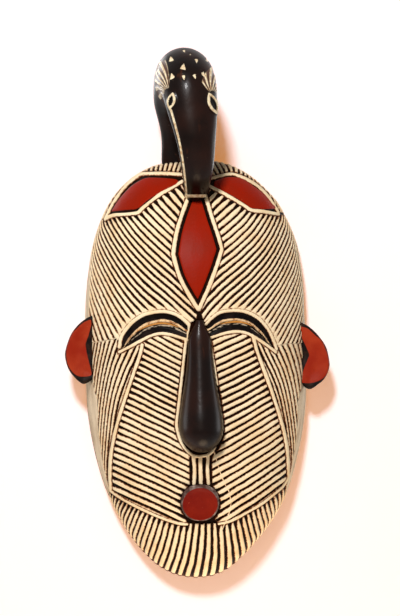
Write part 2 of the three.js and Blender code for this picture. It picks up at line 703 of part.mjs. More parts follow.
// The carved face, with a seat for everything that is fixed to it
function faceShell() {
  const eyeFloor = dome(EYE_POCKET_DEPTH, -PAST);
  let shell = dome(0)
    .subtract(hollow())
    .subtract(pocket(noseOutline(CLEARANCE), NOSE.pocket))
    .subtract(mouthCut())
    .subtract(crestSeat(0))
    .subtract(hangerRebate())
    .subtract(hole(NECK_DOWEL.radius, dowelFoot, dowelHead))
    .subtract(hole(BILL_PEG.radius, pegFoot, pegHead));
  for (const { from, to } of nosePegs) shell = shell.subtract(hole(NOSE.pegRadius, from, to));
  for (const stroke of lozengeStrokes)
    shell = shell.subtract(gougeStroke(stroke, BORDER.depth, BORDER.steps));
  for (const side of [1, -1]) {
    const placed = (outline) => (side > 0 ? outline : mirrored(outline));
    for (const stroke of leafStrokes)
      shell = shell.subtract(gougeStroke(stroke, BORDER.depth, BORDER.steps, side));
    for (const region of Object.values(FURROWS))
      for (const furrow of furrows(region, side)) shell = shell.subtract(furrow);
    shell = shell
      .subtract(pocket(placed(eyeOutline()), EYE_POCKET_DEPTH, eyeFloor))
      .add(lid(UPPER_LID, side))
      .add(lid(LOWER_LID, side))
      .subtract(prism(placed(eyeSlit()), -PAST, FACE_DEPTH + PAST))
      .subtract(nailHole(side));
  }
  for (const side of ["left", "right"])
    shell = shell.subtract(toSide(earTongue(side, CLEARANCE), side));
  return shell;
}

function ear(side) {
  return toSide(earBody(side).add(earTongue(side, 0)), side);
}

function piece(name, solid, finish) {
  const mesh = new THREE.Mesh(geometryOf(solid), new THREE.MeshStandardMaterial(finish));
  mesh.name = name;
  return mesh;
}

const mask = new THREE.Group();
mask.position.set(0, 0, -HANGER_Z);
mask.add(
  piece("face_shell", faceShell(), CREAM),
  piece("bird_crest", bird(), BLACK),
  piece("neck_dowel", bar(NECK_DOWEL.radius, dowelFoot, dowelHead), BARE_WOOD),
  piece("bill_peg", bar(BILL_PEG.radius, pegFoot, pegHead), BARE_WOOD),
  piece("nose", noseBody().subtract(nosePegHoles()), BLACK),
  piece("mouth_plug", mouthPlug(), RED),
  piece("ear_left", ear("left"), RED),
  piece("ear_right", ear("right"), RED),
  piece("hanger_strip", hangerStrip(), STEEL),
);
nosePegs.forEach(({ from, to }, i) => {
  mask.add(piece(`nose_peg_${i ? "lower" : "upper"}`, bar(NOSE.pegRadius, from, to), BARE_WOOD));
});
mask.add(piece("hanger_nail_left", nail(-1), STEEL), piece("hanger_nail_right", nail(1), STEEL));

function nosePegHoles() {
  return nosePegs
    .map(({ from, to }) => hole(NOSE.pegRadius, from, to))
    .reduce((both, one) => both.add(one));
}

export default new THREE.Group().add(mask);
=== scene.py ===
"""The carved wooden mask, dressed: fine carving, paint, wear, stage, lights and camera.

Shapes are worked out in the face's own frame in millimetres: x across, depth off the back rim
and z up from the middle of the face. The carving's lines are laid out in plan units, which are
the places at which the camera sees them (u to the right, v down, 400 by 616 in all).
"""

import math

import bmesh
import bpy
import numpy as np
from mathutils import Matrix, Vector, kdtree


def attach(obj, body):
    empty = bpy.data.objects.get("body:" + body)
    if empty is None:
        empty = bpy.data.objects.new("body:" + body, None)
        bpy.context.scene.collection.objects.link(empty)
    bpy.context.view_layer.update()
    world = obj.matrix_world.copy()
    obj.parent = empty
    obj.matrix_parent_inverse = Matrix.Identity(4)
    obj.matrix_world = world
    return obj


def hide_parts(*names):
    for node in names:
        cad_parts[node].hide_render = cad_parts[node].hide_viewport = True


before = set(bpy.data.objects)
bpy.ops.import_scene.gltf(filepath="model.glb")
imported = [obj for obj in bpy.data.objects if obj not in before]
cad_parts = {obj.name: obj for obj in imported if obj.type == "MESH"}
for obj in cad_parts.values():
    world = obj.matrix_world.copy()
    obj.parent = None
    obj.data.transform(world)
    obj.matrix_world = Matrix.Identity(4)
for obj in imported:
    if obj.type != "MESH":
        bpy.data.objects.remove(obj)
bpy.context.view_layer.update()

# Sizes shared with the solid part, in millimetres
HALF_WIDTH = 96.5
HALF_HEIGHT = 183.5
FACE_DEPTH = 85
CROWN_FULLNESS = 2.7
CHIN_FULLNESS = 2.1
DOME_FULLNESS = 2.6
HANGER_Z = 152
FOREHEAD = (3, 0, 60, 94, 48)  # a swell: height, then middle and reach across and upwards
EYE_POCKETS = (6, 33, 24, -24, 42)
HOLLOW = {"half_width": 83.5, "half_height": 153.5, "middle": -16, "depth": 71, "fullness": 2.4}
GOUGE = 1.1  # depth of the tool marks in the hollow
CLEARANCE = 0.3
SCRIBE = 0.45  # room between the plain dome and a piece that is fitted over the carving
BEHIND = -6  # depth at which a cutter starts, behind the wall plane

# Camera
CAMERA_X = -52.4
CAMERA_DEPTH = 1600
CAMERA_Z = 53.2
CAMERA_TURN = math.radians(2)
FOCAL = 1818
FRAME_WIDTH = 400
FRAME_HEIGHT = 616
SENSOR = 36
MM_PER_UNIT = CAMERA_DEPTH / FOCAL

# Fineness of the carved skin
ROWS = 560
COLUMNS = 356
STEEP = 1.9  # slope from which the skin counts as side wall
SIDE_STRETCH = 2.147  # side wall that takes the place of one plan unit of the front

OUTSIDE = -9  # value of a field of the carving well away from what it draws
TURN = 2 * math.pi


def as_points(*parts):
    """Rows of points from their coordinates, each given as a list of its own."""
    return np.stack(parts, axis=1)


def metres(points):
    """Face frame points (x, depth, z) in millimetres as places in the scene."""
    p = np.asarray(points, float)
    return np.stack([p[..., 0], -p[..., 1], p[..., 2] - HANGER_Z], axis=-1) / 1000


def plan(x, depth, z):
    """Where the camera sees a point of the face frame, in plan units."""
    across = x - CAMERA_X
    away = CAMERA_DEPTH - depth
    forward = across * math.sin(CAMERA_TURN) + away * math.cos(CAMERA_TURN)
    right = across * math.cos(CAMERA_TURN) - away * math.sin(CAMERA_TURN)
    u = FRAME_WIDTH / 2 + FOCAL * right / forward
    return u, FRAME_HEIGHT / 2 - FOCAL * (z - CAMERA_Z) / forward


def unplan(u, v, depth):
    """The point of that depth that the camera sees at a place of the plan: (x, z)."""
    ray_right = (u - FRAME_WIDTH / 2) / FOCAL
    ray_up = (FRAME_HEIGHT / 2 - v) / FOCAL
    ray_x = math.sin(CAMERA_TURN) + ray_right * math.cos(CAMERA_TURN)
    ray_in = math.cos(CAMERA_TURN) - ray_right * math.sin(CAMERA_TURN)
    reach = (CAMERA_DEPTH - depth) / ray_in
    return CAMERA_X + ray_x * reach, CAMERA_Z + ray_up * reach


# The dome of the face
def fullness(z):
    return np.where(np.asarray(z) > 0, CROWN_FULLNESS, CHIN_FULLNESS)


def share_of(x, z):
    n = fullness(z)
    return (np.abs(x / HALF_WIDTH) ** n + np.abs(z / HALF_HEIGHT) ** n) ** (1 / n)


def swell(x, z, height, x_middle, x_reach, z_middle, z_reach):
    across = np.exp(-(((x - x_middle) / x_reach) ** 2))
    return height * across * np.exp(-(((z - z_middle) / z_reach) ** 2))


def dome_depth(x, z):
    share = np.minimum(share_of(x, z), 1)
    relief = swell(x, z, *FOREHEAD) - swell(np.abs(x), z, *EYE_POCKETS)
    return FACE_DEPTH * np.sqrt(1 - share**DOME_FULLNESS) + relief * (1 - share**4)


def dome_normal(x, depth, z):
    """Outward direction of the dome, in the face frame."""
    n = fullness(z)
    total = np.abs(x / HALF_WIDTH) ** n + np.abs(z / HALF_HEIGHT) ** n + 1e-9
    steep = DOME_FULLNESS * total ** (DOME_FULLNESS / n - 1)
    across = steep * np.sign(x) * np.abs(x / HALF_WIDTH) ** (n - 1) / HALF_WIDTH
    up = steep * np.sign(z) * np.abs(z / HALF_HEIGHT) ** (n - 1) / HALF_HEIGHT
    normal = np.stack([across, 2 * depth / FACE_DEPTH**2, up], axis=-1)
    return normal / np.linalg.norm(normal, axis=-1, keepdims=True)


# How far the hand-carved outline stands out past the even one, by height, on either side
LEAN_Z = [-183, -173, -165, -150, -130, -105, -80, -40, 0, 45, 85, 110, 148, 162, 175, 183]
LEAN_LEFT = [0, -1.5, -2.8, -3, -2.6, -1.3, -0.6, 0.5, 0.6, 1.9, 2.8, 3.8, 3.8, 2.6, 1, -1.5]
LEAN_RIGHT = [0, -3.5, -5.5, -4.6, -1.6, 0.8, 0.8, 1.4, 0.8, 0, 1.5, 2, -0.8, -3.8, -5.2, -5.5]


def hand_lean(x, half, z):
    """How far across a point of the dome moves to meet the hand-carved outline."""
    left, right = np.interp(z, LEAN_Z, LEAN_LEFT), np.interp(z, LEAN_Z, LEAN_RIGHT)
    return np.where(x < 0, -left, right) * np.abs(x / half) ** 3


# Lines and areas in the plan
def curve(points, step=2.5):
    """A smooth line through the points, as a close row of points."""
    p = np.asarray(points, float)
    padded = np.vstack([2 * p[0] - p[1], p, 2 * p[-1] - p[-2]])
    made = []
    for i in range(len(p) - 1):
        a, b, c, d = padded[i : i + 4]
        count = max(1, round(np.linalg.norm(c - b) / step))
        t = (np.arange(count) / count)[:, None]
        bend, twist = 2 * a - 5 * b + 4 * c - d, 3 * b - a - 3 * c + d
        made.append(0.5 * (2 * b + (c - a) * t + bend * t**2 + twist * t**3))
    return np.vstack([*made, p[-1:]])


def to_segment(p, a, b):
    """The share of the way from a to b that is nearest to each point, and its distance."""
    ab = b - a
    t = np.clip(((p - a) @ ab) / max(ab @ ab, 1e-12), 0, 1)
    return t, np.hypot(p[:, 0] - a[0] - t * ab[0], p[:, 1] - a[1] - t * ab[1])


def distance(p, line):
    """How far each point is from a line of points."""
    best = np.full(len(p), 1e9)
    for a, b in zip(line[:-1], line[1:]):
        best = np.minimum(best, to_segment(p, a, b)[1])
    return best


def along(p, line):
    """Length along a line at the place nearest to each point, and the distance to it."""
    best, where, run = np.full(len(p), 1e9), np.zeros(len(p)), 0.0
    for a, b in zip(line[:-1], line[1:]):
        length = np.hypot(*(b - a))
        t, d = to_segment(p, a, b)
        where = np.where(d < best, run + t * length, where)
        best = np.minimum(best, d)
        run += length
    return where, best


def inside(p, outline):
    """Whether each point lies in a closed outline."""
    odd = np.zeros(len(p), bool)
    for a, b in zip(outline, np.roll(outline, -1, axis=0)):
        crosses = (a[1] > p[:, 1]) != (b[1] > p[:, 1])
        x = a[0] + (p[:, 1] - a[1]) * (b[0] - a[0]) / (b[1] - a[1] if b[1] != a[1] else 1e-9)
        odd ^= crosses & (p[:, 0] < x)
    return odd


def signed(p, outline):
    """Distance to a closed outline, positive inside it."""
    closed = np.vstack([outline, outline[:1]])
    return np.where(inside(p, outline), 1, -1) * distance(p, closed)


def smoothstep(low, high, value):
    t = np.clip((value - low) / (high - low), 0, 1)
    return t * t * (3 - 2 * t)


def ripple(p, scale, seed):
    """Slow, even wobble between about -1 and 1, the same on every run."""
    total = 0
    for k in range(4):
        angle = seed * 1.7 + k * 2.4
        turn = p[..., 0] * math.cos(angle) + p[..., 1] * math.sin(angle)
        total = total + np.sin(turn * (0.7 + 0.35 * k) / scale + seed * 3.1 + k)
    return total / 4


# Raised cream outlines, as half width and points; a point given twice makes a corner
RAISED = {
    "leaf_left_top": (1.6, [
        (104, 219), (112, 203.5), (123, 188), (133, 178.5), (141, 173.5), (150, 173), (165, 173),
        (181, 174),
    ]),
    "leaf_left_low": (1.7, [
        (104, 219), (113, 215), (125, 214), (137.5, 212.5), (141, 209), (150, 201.5), (163, 192),
        (172, 187), (182, 181),
    ]),
    "leaf_right_top": (1.5, [
        (211, 178), (222, 175), (230, 173.5), (238, 175), (250, 180.5), (262, 189), (270, 198),
        (279, 212),
    ]),
    "leaf_right_low": (1.7, [
        (210, 186), (222, 192), (235, 199.5), (247, 207), (252, 210), (265, 211.5), (279, 214),
    ]),
    "lozenge_left": (2.0, [
        (190, 192), (181, 217), (176, 235), (173, 254), (173, 254), (179, 275), (188, 293),
        (198, 309),
    ]),
    "lozenge_right": (1.9, [
        (205, 194), (212, 217), (218, 235), (222, 249), (222, 249), (216, 268), (208, 289),
        (199, 309),
    ]),
    "arch_left": (1.8, [
        (119, 347), (121, 337), (126, 329), (133, 321.5), (143, 315), (155, 312), (165, 311.5),
        (175, 314), (183, 319), (188, 324),
    ]),
    "arch_right": (1.6, [
        (206, 324), (212, 318), (220, 312.5), (232, 310.5), (245, 311.5), (257, 317), (266, 326),
        (272, 336), (277, 349),
    ]),
    "lid_left": (1.5, [
        (119, 352), (130, 346.5), (140, 341), (150, 336), (160, 333.5), (170, 334.5), (180, 337.5),
        (187, 340),
    ]),
    "lid_right": (1.5, [
        (208, 339), (222, 334), (235, 331.5), (245, 332.5), (253, 336), (262, 341.5), (271, 348),
        (276, 352),
    ]),
    "nose_left": (1.5, [
        (189, 324), (186, 340), (182, 375), (178, 410), (176.5, 425), (179, 437), (184, 447),
        (192, 455), (200, 456.5), (210, 454), (215, 447),
    ]),
    "nose_right": (1.0, [(209, 333), (212, 350), (215, 370), (217.5, 385)]),
    "cheek_left": (1.7, [
        (142, 345), (139, 357), (133, 374), (127, 392), (121, 410), (116.5, 425), (113, 440),
        (110.5, 455), (109.5, 470), (109.5, 491),
    ]),
    "cheek_right": (1.7, [
        (253, 335), (257, 350), (262, 364), (268, 380), (274, 397), (279.5, 414), (284, 430),
        (287, 445), (288.5, 460), (289.5, 477),
    ]),
    "chin_left": (1.4, [
        (109, 491), (125, 501), (145, 511), (165, 519.5), (180, 524), (187, 524.5),
    ]),
    "chin_right": (1.4, [
        (219, 524), (230, 521.5), (245, 514), (262, 504), (275, 494), (284, 486), (289.5, 478),
    ]),
    "lip_left": (1.8, [(193.5, 457), (194.5, 470), (194, 484)]),
    "lip_middle": (1.9, [(200.5, 458), (200.5, 470), (201, 484)]),
    "lip_right": (1.7, [(208, 457), (207.5, 470), (208.5, 484)]),
    "crack": (0.55, [
        (213, 447), (216, 458), (220.5, 473), (225, 484), (229.5, 493), (231, 504), (229, 514),
        (224, 526), (220, 536),
    ]),
}
SMOOTH = {name: curve(line) for name, (_, line) in RAISED.items()}
BARE = 0.9  # dark gutter between an outline and the ends of the stripes beside it
DUTY = 0.36  # how much wider the ridges are than the grooves: 0 is even
DUTY_OF_EACH, DUTY_ALONG = 0.13, 0.1  # how much that differs from ridge to ridge, and along them
TAPER_REACH = 8
CROWN_PITCH = 4.3
CROWN_STEPS = 200
CROWN_LEAN = 15, 45  # degrees at the neck, and how many more at the outer end
WAVE_TO_EDGE = 0.164  # turns the wave of the stripes into a distance, as a share of their pitch
ENDS_TO_EDGE = 0.45  # softens the ends of the stripes
EYE_TOP, EYE_LOW = 1.7, 1.5  # how far an eye starts from the middle lines of its arch and lid
SLITS = {"left": (135, 179), "right": (220, 254)}
SLIT_SHARE, SLIT_HALF, SLIT_DEPTH = 0.54, 0.95, 78
SIDES = "left", "right"
NOSE_CORNERS = 8  # points of the nose's left outline that lie beside the cheek

# Painted fields
RED_LEFT = [
    (110.5, 211), (118, 199), (130, 186), (140, 179.5), (147, 177), (160, 177), (176, 178.5),
    (178, 180), (176, 184), (160, 192), (147, 200), (137, 208), (125, 209.5),
]
RED_RIGHT = [
    (215, 180), (226, 176.5), (235, 176.5), (243, 178.5), (255, 186), (265, 194), (273, 204),
    (276, 208), (262, 208.5), (251, 207.5), (245, 203), (232, 195), (220, 189), (214, 186),
]
LOZENGE_BORDER = 5.2

# Lines beside which stripes end where no raised outline is
MOUTH_U = 200.5
MOUTH_LEFT = [(190, 485), (183, 494), (180.5, 503), (182, 512), (187, 520)]
MOUTH_RIGHT = [(2 * MOUTH_U - u, v) for u, v in MOUTH_LEFT]
LIP_LEFT = [(190, 458), (190.5, 485)]
LIP_RIGHT = [(211.5, 456), (211.5, 485)]
NOSE_SIDE = RAISED["nose_right"][1] + [(220, 400), (223, 425), (222, 437), (218, 447), (211.5, 456)]
BILL_LEFT = [(182, 181), (186, 190)]
BILL_RIGHT = [(209, 188), (206, 196)]
KNOT_LEFT = [(198.5, 309), (197, 320)]
KNOT_RIGHT = [(203, 320), (199, 309)]
TEMPLE_LEFT = [(-90, 232), (104, 219)]
TEMPLE_RIGHT = [(279, 214), (470, 226)]

# How the stripes lie at a few places of each region, as read off the photograph: place in the
# plan, the way from one ridge to the next in degrees, and its length. The first is on a ridge.
STRIPES = {
    "forehead_L": [
        (144.5, 262.5, 134, 5.6), (100, 235, 155, 3.6), (130, 215, 143, 5.2), (160, 203, 139, 6.6),
        (180, 200, 142, 7), (98, 285, 158, 3.8), (172, 232, 134, 5.8), (100, 325, 159, 4.4),
        (168, 275, 131, 5.6), (180, 300, 134, 5.8), (130, 318, 139, 6.4),
    ],
    "forehead_R": [
        (250, 262, 48, 5.4), (290, 235, 15, 3.2), (262, 215, 34, 5.2), (235, 205, 49, 6.6),
        (215, 203, 45, 6.6), (295, 285, 27, 3.4), (224, 230, 46, 6.4), (295, 325, 25, 3.8),
        (228, 275, 48, 5.6), (212, 300, 46, 6.2), (265, 318, 33, 5),
    ],
    "cheek_L": [
        (149.5, 431, 116, 6), (138, 360, 120, 5.2), (178, 362, 112, 6), (178, 410, 123, 5.8),
        (115, 485, 109, 6.4), (178, 480, 117, 5.6), (150, 505, 114, 6.4),
    ],
    "cheek_R": [
        (249, 431.5, 62, 6), (262, 360, 66, 6.2), (222, 365, 64, 6.6), (224, 410, 59, 6.2),
        (280, 475, 49, 5.4), (224, 480, 63, 6.2), (250, 500, 60, 7.2),
    ],
    "chin": [
        (202, 538, 1, 6.8), (125, 512, 27, 4.6), (150, 525, 18, 5), (175, 535, 7, 5.6),
        (225, 532, -6, 7.2), (245, 522, -14, 5.4), (262, 510, -9, 4.6), (150, 550, 27, 6.4),
        (185, 565, 10, 7), (222, 558, 7, 7.6), (245, 542, -9, 7.2),
    ],
    "side_L": [
        (109.5, 395.5, 14, 3.8), (98, 362, 10, 3.2), (118, 360, 18, 4.8), (99, 430, 5, 2.6),
        (112, 410, 14, 4), (104, 465, 0, 2.6),
    ],
    "side_R": [
        (288.5, 395, -15, 3.6), (294, 362, -16, 4.6), (278, 360, -21, 4.2), (294, 430, -7, 2.8),
        (282, 405, -16, 3.6), (292, 465, -2, 2.4),
    ],
}
STRIPE_SCALE = 40  # plan units, so that the terms of a fit are of like size
CUBIC_GUIDES = 9  # guides from which a region is large enough for a surface of third degree
PITCH_RANGE = 1.5, 9


def stripe_terms(place, degree):
    """The terms of a surface over the plan and their slopes, a column each, without the constant."""
    u, v = place.T
    powers = [(i, j) for i in range(degree + 1) for j in range(degree + 1 - i)][1:]
    height = np.stack([u**i * v**j for i, j in powers], axis=1)
    by_u = np.stack([i * u ** max(i - 1, 0) * v**j for i, j in powers], axis=1)
    by_v = np.stack([j * u**i * v ** max(j - 1, 0) for i, j in powers], axis=1)
    return height, by_u, by_v


def phase_of(p, name):
    """Phase of a region's stripes in cycles, and the distance from one to the next.

    The phase is the smooth surface whose slopes come nearest to what was read at the guides,
    and it runs on straight past them."""
    guides = np.array(STRIPES[name], float)
    degree = 3 if len(guides) >= CUBIC_GUIDES else 2
    ridge = guides[0, :2]
    known = (guides[:, :2] - ridge) / STRIPE_SCALE
    way, gap = np.radians(guides[:, 2]), guides[:, 3] / STRIPE_SCALE
    slopes = np.concatenate([np.cos(way) / gap, np.sin(way) / gap])
    fit = np.linalg.lstsq(np.vstack(stripe_terms(known, degree)[1:]), slopes, rcond=None)[0]
    place = (p - ridge) / STRIPE_SCALE
    held = np.clip(place, known.min(axis=0), known.max(axis=0))
    height, by_u, by_v = (terms @ fit for terms in stripe_terms(held, degree))
    phase = height + by_u * (place - held)[:, 0] + by_v * (place - held)[:, 1]
    return phase, np.clip(STRIPE_SCALE / np.maximum(np.hypot(by_u, by_v), 1), *PITCH_RANGE)


def joined(*lines):
    return np.vstack([np.asarray(line, float) for line in lines])


def regions():
    """Each striped region: name, lines that make up its outline, and the lines at which its
    stripes end, each with the half width of its outline and how much the ridges widen there."""
    leaf_l_top, leaf_l_low, leaf_r_top, leaf_r_low, lozenge_l, lozenge_r, *others = SMOOTH.values()
    arch_l, arch_r, lid_l, lid_r, _, _, cheek_l, cheek_r, chin_l, chin_r, *_ = others
    nose_left, nose_right = curve(RAISED["nose_left"][1][:NOSE_CORNERS]), curve(NOSE_SIDE)
    yield (
        "forehead_L",
        (leaf_l_low, BILL_LEFT, lozenge_l, KNOT_LEFT, arch_l[::-1],
         [(117, 338), (104, 341), (90, 343), (-90, 343), (-90, 232)]),
        ((leaf_l_low, 1.7, -0.9), (lozenge_l, 2.0, -0.3), (arch_l, 0.9, 0.9),
         (BILL_LEFT, 0.5, 0), (TEMPLE_LEFT, -0.4, 0), (KNOT_LEFT, -0.3, 0)),
    )
    yield (
        "forehead_R",
        (leaf_r_low, [(470, 226), (470, 343), (298, 343), (278, 345)], arch_r[::-1],
         KNOT_RIGHT, lozenge_r[::-1], BILL_RIGHT[::-1]),
        ((leaf_r_low, 1.7, -0.9), (lozenge_r, 1.9, -0.3), (arch_r, 0.8, 0.9),
         (BILL_RIGHT, 0.5, 0), (TEMPLE_RIGHT, -0.4, 0), (KNOT_RIGHT, -0.3, 0)),
    )
    yield (
        "side_L",
        ([(-90, 343), (90, 343), (104, 341), (117, 338), (119, 350), (130, 346.5), (140, 341)],
         cheek_l, [(100, 500), (-90, 500)]),
        ((cheek_l, 1.7, -0.5), (lid_l[:12], 1.5, 0), (arch_l[:5], 1.8, 0)),
    )
    yield (
        "side_R",
        ([(470, 343), (298, 343), (278, 345), (276, 352), (262, 341.5), (254, 336)],
         cheek_r, [(300, 488), (470, 488)]),
        ((cheek_r, 1.7, -0.5), (lid_r[-14:], 1.5, 0), (arch_r[-5:], 1.6, 0)),
    )
    yield (
        "cheek_L",
        (cheek_l[::-1], lid_l[9:], nose_left, LIP_LEFT, MOUTH_LEFT, [(187, 524.5)], chin_l[::-1]),
        ((cheek_l, 1.7, -0.5), (lid_l, 1.5, 0), (nose_left, 1.5, 0), (chin_l, 0.9, 0),
         (LIP_LEFT, 0, 0), (MOUTH_LEFT, 0, -0.5)),
    )
    yield (
        "cheek_R",
        (cheek_r, chin_r[::-1], MOUTH_RIGHT[::-1], LIP_RIGHT[::-1], nose_right[::-1], lid_r[:-14]),
        ((cheek_r, 1.7, -0.5), (lid_r, 1.5, 0), (nose_right, 1.0, 0), (chin_r, 0.9, 0),
         (LIP_RIGHT, 0, 0), (MOUTH_RIGHT, 0, -0.5)),
    )
    yield (
        "chin",
        (chin_l, [(192, 523), (201, 524), (212, 523)], chin_r,
         [(300, 470), (420, 470), (420, 680), (0, 680), (0, 480), (100, 484)]),
        ((chin_l, 1.4, -0.9), (chin_r, 1.4, -0.9), ([(187, 522), (201, 523), (219, 522)], 0, 0)),
    )
    yield (
        "crown_L",
        (leaf_l_top, [(184, 180), (184, 60), (-90, 60), (-90, 232)]),
        ((leaf_l_top, 1.6, -0.5), (TEMPLE_LEFT, -0.4, 0)),
    )
    yield (
        "crown_R",
        (leaf_r_top, [(470, 226), (470, 60), (208, 60), (208, 180)]),
        ((leaf_r_top, 1.5, -0.5), (TEMPLE_RIGHT, -0.4, 0)),
    )


def crown_lean(from_neck):
    least, more = CROWN_LEAN
    return np.radians(least + more * smoothstep(0.15, 1.0, from_neck))


def crown_phase(p, line, neck_first):
    """Stripes that leave the leaf's upper edge, leaning towards the neck and more so further out."""
    where, off = along(p, line)
    total = np.hypot(*np.diff(line, axis=0).T).sum()
    from_neck = where / total if neck_first else 1 - where / total
    lean = crown_lean(from_neck)
    grid = np.linspace(0, 1, CROWN_STEPS)
    steps = np.cos(crown_lean(grid)[1:]) / CROWN_PITCH * total / (CROWN_STEPS - 1)
    run = np.concatenate([[0], np.cumsum(steps)])
    moved = from_neck * total + off * np.tan(lean)
    past_end = (CROWN_PITCH / np.cos(lean))[0]
    phase = np.interp(moved / total, grid, run) + np.maximum(0, moved / total - 1) * total / past_end
    return phase, np.full(len(p), CROWN_PITCH)


# By height in the plan, the depths off the back rim below which the chin's edge is dark and
# the side wall was left plain
RIM_V, RIM_DEPTH = [380, 400, 500, 550, 620], [-9, 3, 6, 14, 20]
PLAIN_V = [150, 250, 290, 325, 350, 385, 400, 440, 490, 497, 620]
PLAIN_DEPTH = [4, 8, 22, 26, 14, 34, 41, 35, 24, 5, 3]
UNCARVED = {
    "phase": 0.5, "pitch": 5, "duty": 0, "border": OUTSIDE, "ridge": OUTSIDE, "red": OUTSIDE,
    "eye": OUTSIDE, "lid": 0,
}
NEAR_OUTLINE = 14  # no outline reaches a place further off than this


def carve(p, depth):
    """Every field of the carving at plan places p, by name."""
    field = {name: np.full(len(p), value, float) for name, value in UNCARVED.items()}
    plain = np.interp(p[:, 1], PLAIN_V, PLAIN_DEPTH) + 1.2 * ripple(p, 6, 3) - depth
    for name, outline, ends in regions():
        mine = inside(p, joined(*outline))
        q = p[mine]
        if name == "crown_L":
            phase, pitch = crown_phase(q, SMOOTH["leaf_left_top"], False)
        elif name == "crown_R":
            phase, pitch = crown_phase(q, SMOOTH["leaf_right_top"], True)
        else:
            phase, pitch = phase_of(q, name)
        border = np.full(len(q), 30.0)
        of_each = np.sin(12.9 * np.round(phase) + len(name))
        duty = DUTY + DUTY_OF_EACH * of_each + DUTY_ALONG * ripple(q, 5, 7)
        for line, half, taper in ends:
            off = distance(q, joined(line)) - half
            border = np.minimum(border, off)
            duty += taper * (1 - smoothstep(0, TAPER_REACH, off))
        field["duty"][mine] = duty
        field["phase"][mine] = phase
        field["pitch"][mine] = pitch
        field["border"][mine] = np.minimum(border, -plain[mine] * 1.2)
    for name, (half, _) in RAISED.items():
        line = SMOOTH[name]
        reach = np.ptp(line, axis=0) / 2 + NEAR_OUTLINE
        near = (np.abs(p - line.mean(axis=0)) < reach).all(axis=1)
        e = half + 0.25 * ripple(p[near], 5, 4) - distance(p[near], line)
        field["ridge"][near] = np.maximum(field["ridge"][near], e)
    lozenge = joined(SMOOTH["lozenge_left"], SMOOTH["lozenge_right"][::-1])
    leaves = [curve(leaf + leaf[:1])[:-1] for leaf in (RED_LEFT, RED_RIGHT)]
    for outline, inset in ((lozenge, LOZENGE_BORDER), *((leaf, 0) for leaf in leaves)):
        field["red"] = np.maximum(field["red"], signed(p, outline) - inset)
    for side in SIDES:
        upper, lower = SMOOTH["arch_" + side], SMOOTH["lid_" + side]
        within = inside(p, joined(upper, lower[::-1]))
        q = p[within]
        above, below = distance(q, upper) - EYE_TOP, distance(q, lower) - EYE_LOW
        field["eye"][within] = np.minimum(above, below)
        above, below = np.clip(above, 0, None), np.clip(below, 0, None)
        field["lid"][within] = above / np.maximum(above + below, 0.3)
    field["phase"] += 0.06 * ripple(p, 9, 1) + 0.045 * ripple(p, 3.4, 2)
    field["plain"] = plain
    field["rim"] = np.interp(p[:, 1], RIM_V, RIM_DEPTH) - depth
    return field


def stripe_edge(field):
    """Distance to the edge of the nearest cream ridge, positive on the ridge, in plan units."""
    wave = np.cos(TURN * field["phase"]) + field["duty"]
    ends = ENDS_TO_EDGE * (field["border"] - BARE)
    return np.maximum(np.minimum(wave * field["pitch"] * WAVE_TO_EDGE, ends), field["ridge"])


# Depth of the grooves and of the painted and plain fields, and the rounding of the ridges
GROOVE_SUNK, RED_SUNK, PLAIN_SUNK, RIDGE_ROUND = 1.5, 0.5, 0.35, 0.25

# How deep the eye lies, by the share of the way from the arch down to the lid
EYE_SHARE = [0, 0.1, 0.3, 0.36, 0.47, 0.51, 0.57, 0.63, 0.78, 0.94, 1]
EYE_HEIGHT = [-0.4, -2.6, -3.8, -2.2, -2.6, -4.8, -4.8, -3, -1.5, -1.4, -1.2]


def height_of(field, p, depth):
    """How far the carving stands off the dome, in millimetres."""
    edge = stripe_edge(field)
    h = RIDGE_ROUND * smoothstep(0.3, 1.4, edge) - GROOVE_SUNK * (1 - smoothstep(-0.75, 0.45, edge))
    red = smoothstep(-1.2, 0.8, field["red"])
    painted = 0.03 * np.clip(field["red"], 0, 12) - RED_SUNK
    h = h + (painted - h) * red
    eye = smoothstep(-0.2, 0.9, field["eye"])
    h = h * (1 - eye) + np.interp(field["lid"], EYE_SHARE, EYE_HEIGHT) * eye
    plain = smoothstep(-0.6, 1.4, field["plain"])
    h = h * (1 - plain) + (0.15 * ripple(p, 2.2, 6) - PLAIN_SUNK) * plain
    return h * smoothstep(0, 3.5, depth)


# The carved skin
def arc_of(points):
    return np.concatenate([[0], np.cumsum(np.hypot(*np.diff(points, axis=0).T))])


def rows_of_skin():
    """Heights of the rows, closer where the skin runs back, without the two poles."""
    z = HALF_HEIGHT * np.sin(np.linspace(-math.pi / 2, math.pi / 2, 20001))
    run = arc_of(as_points(z, dome_depth(np.zeros_like(z), z)))
    return np.interp(np.linspace(0, run[-1], ROWS + 2)[1:-1], run, z)[::-1]


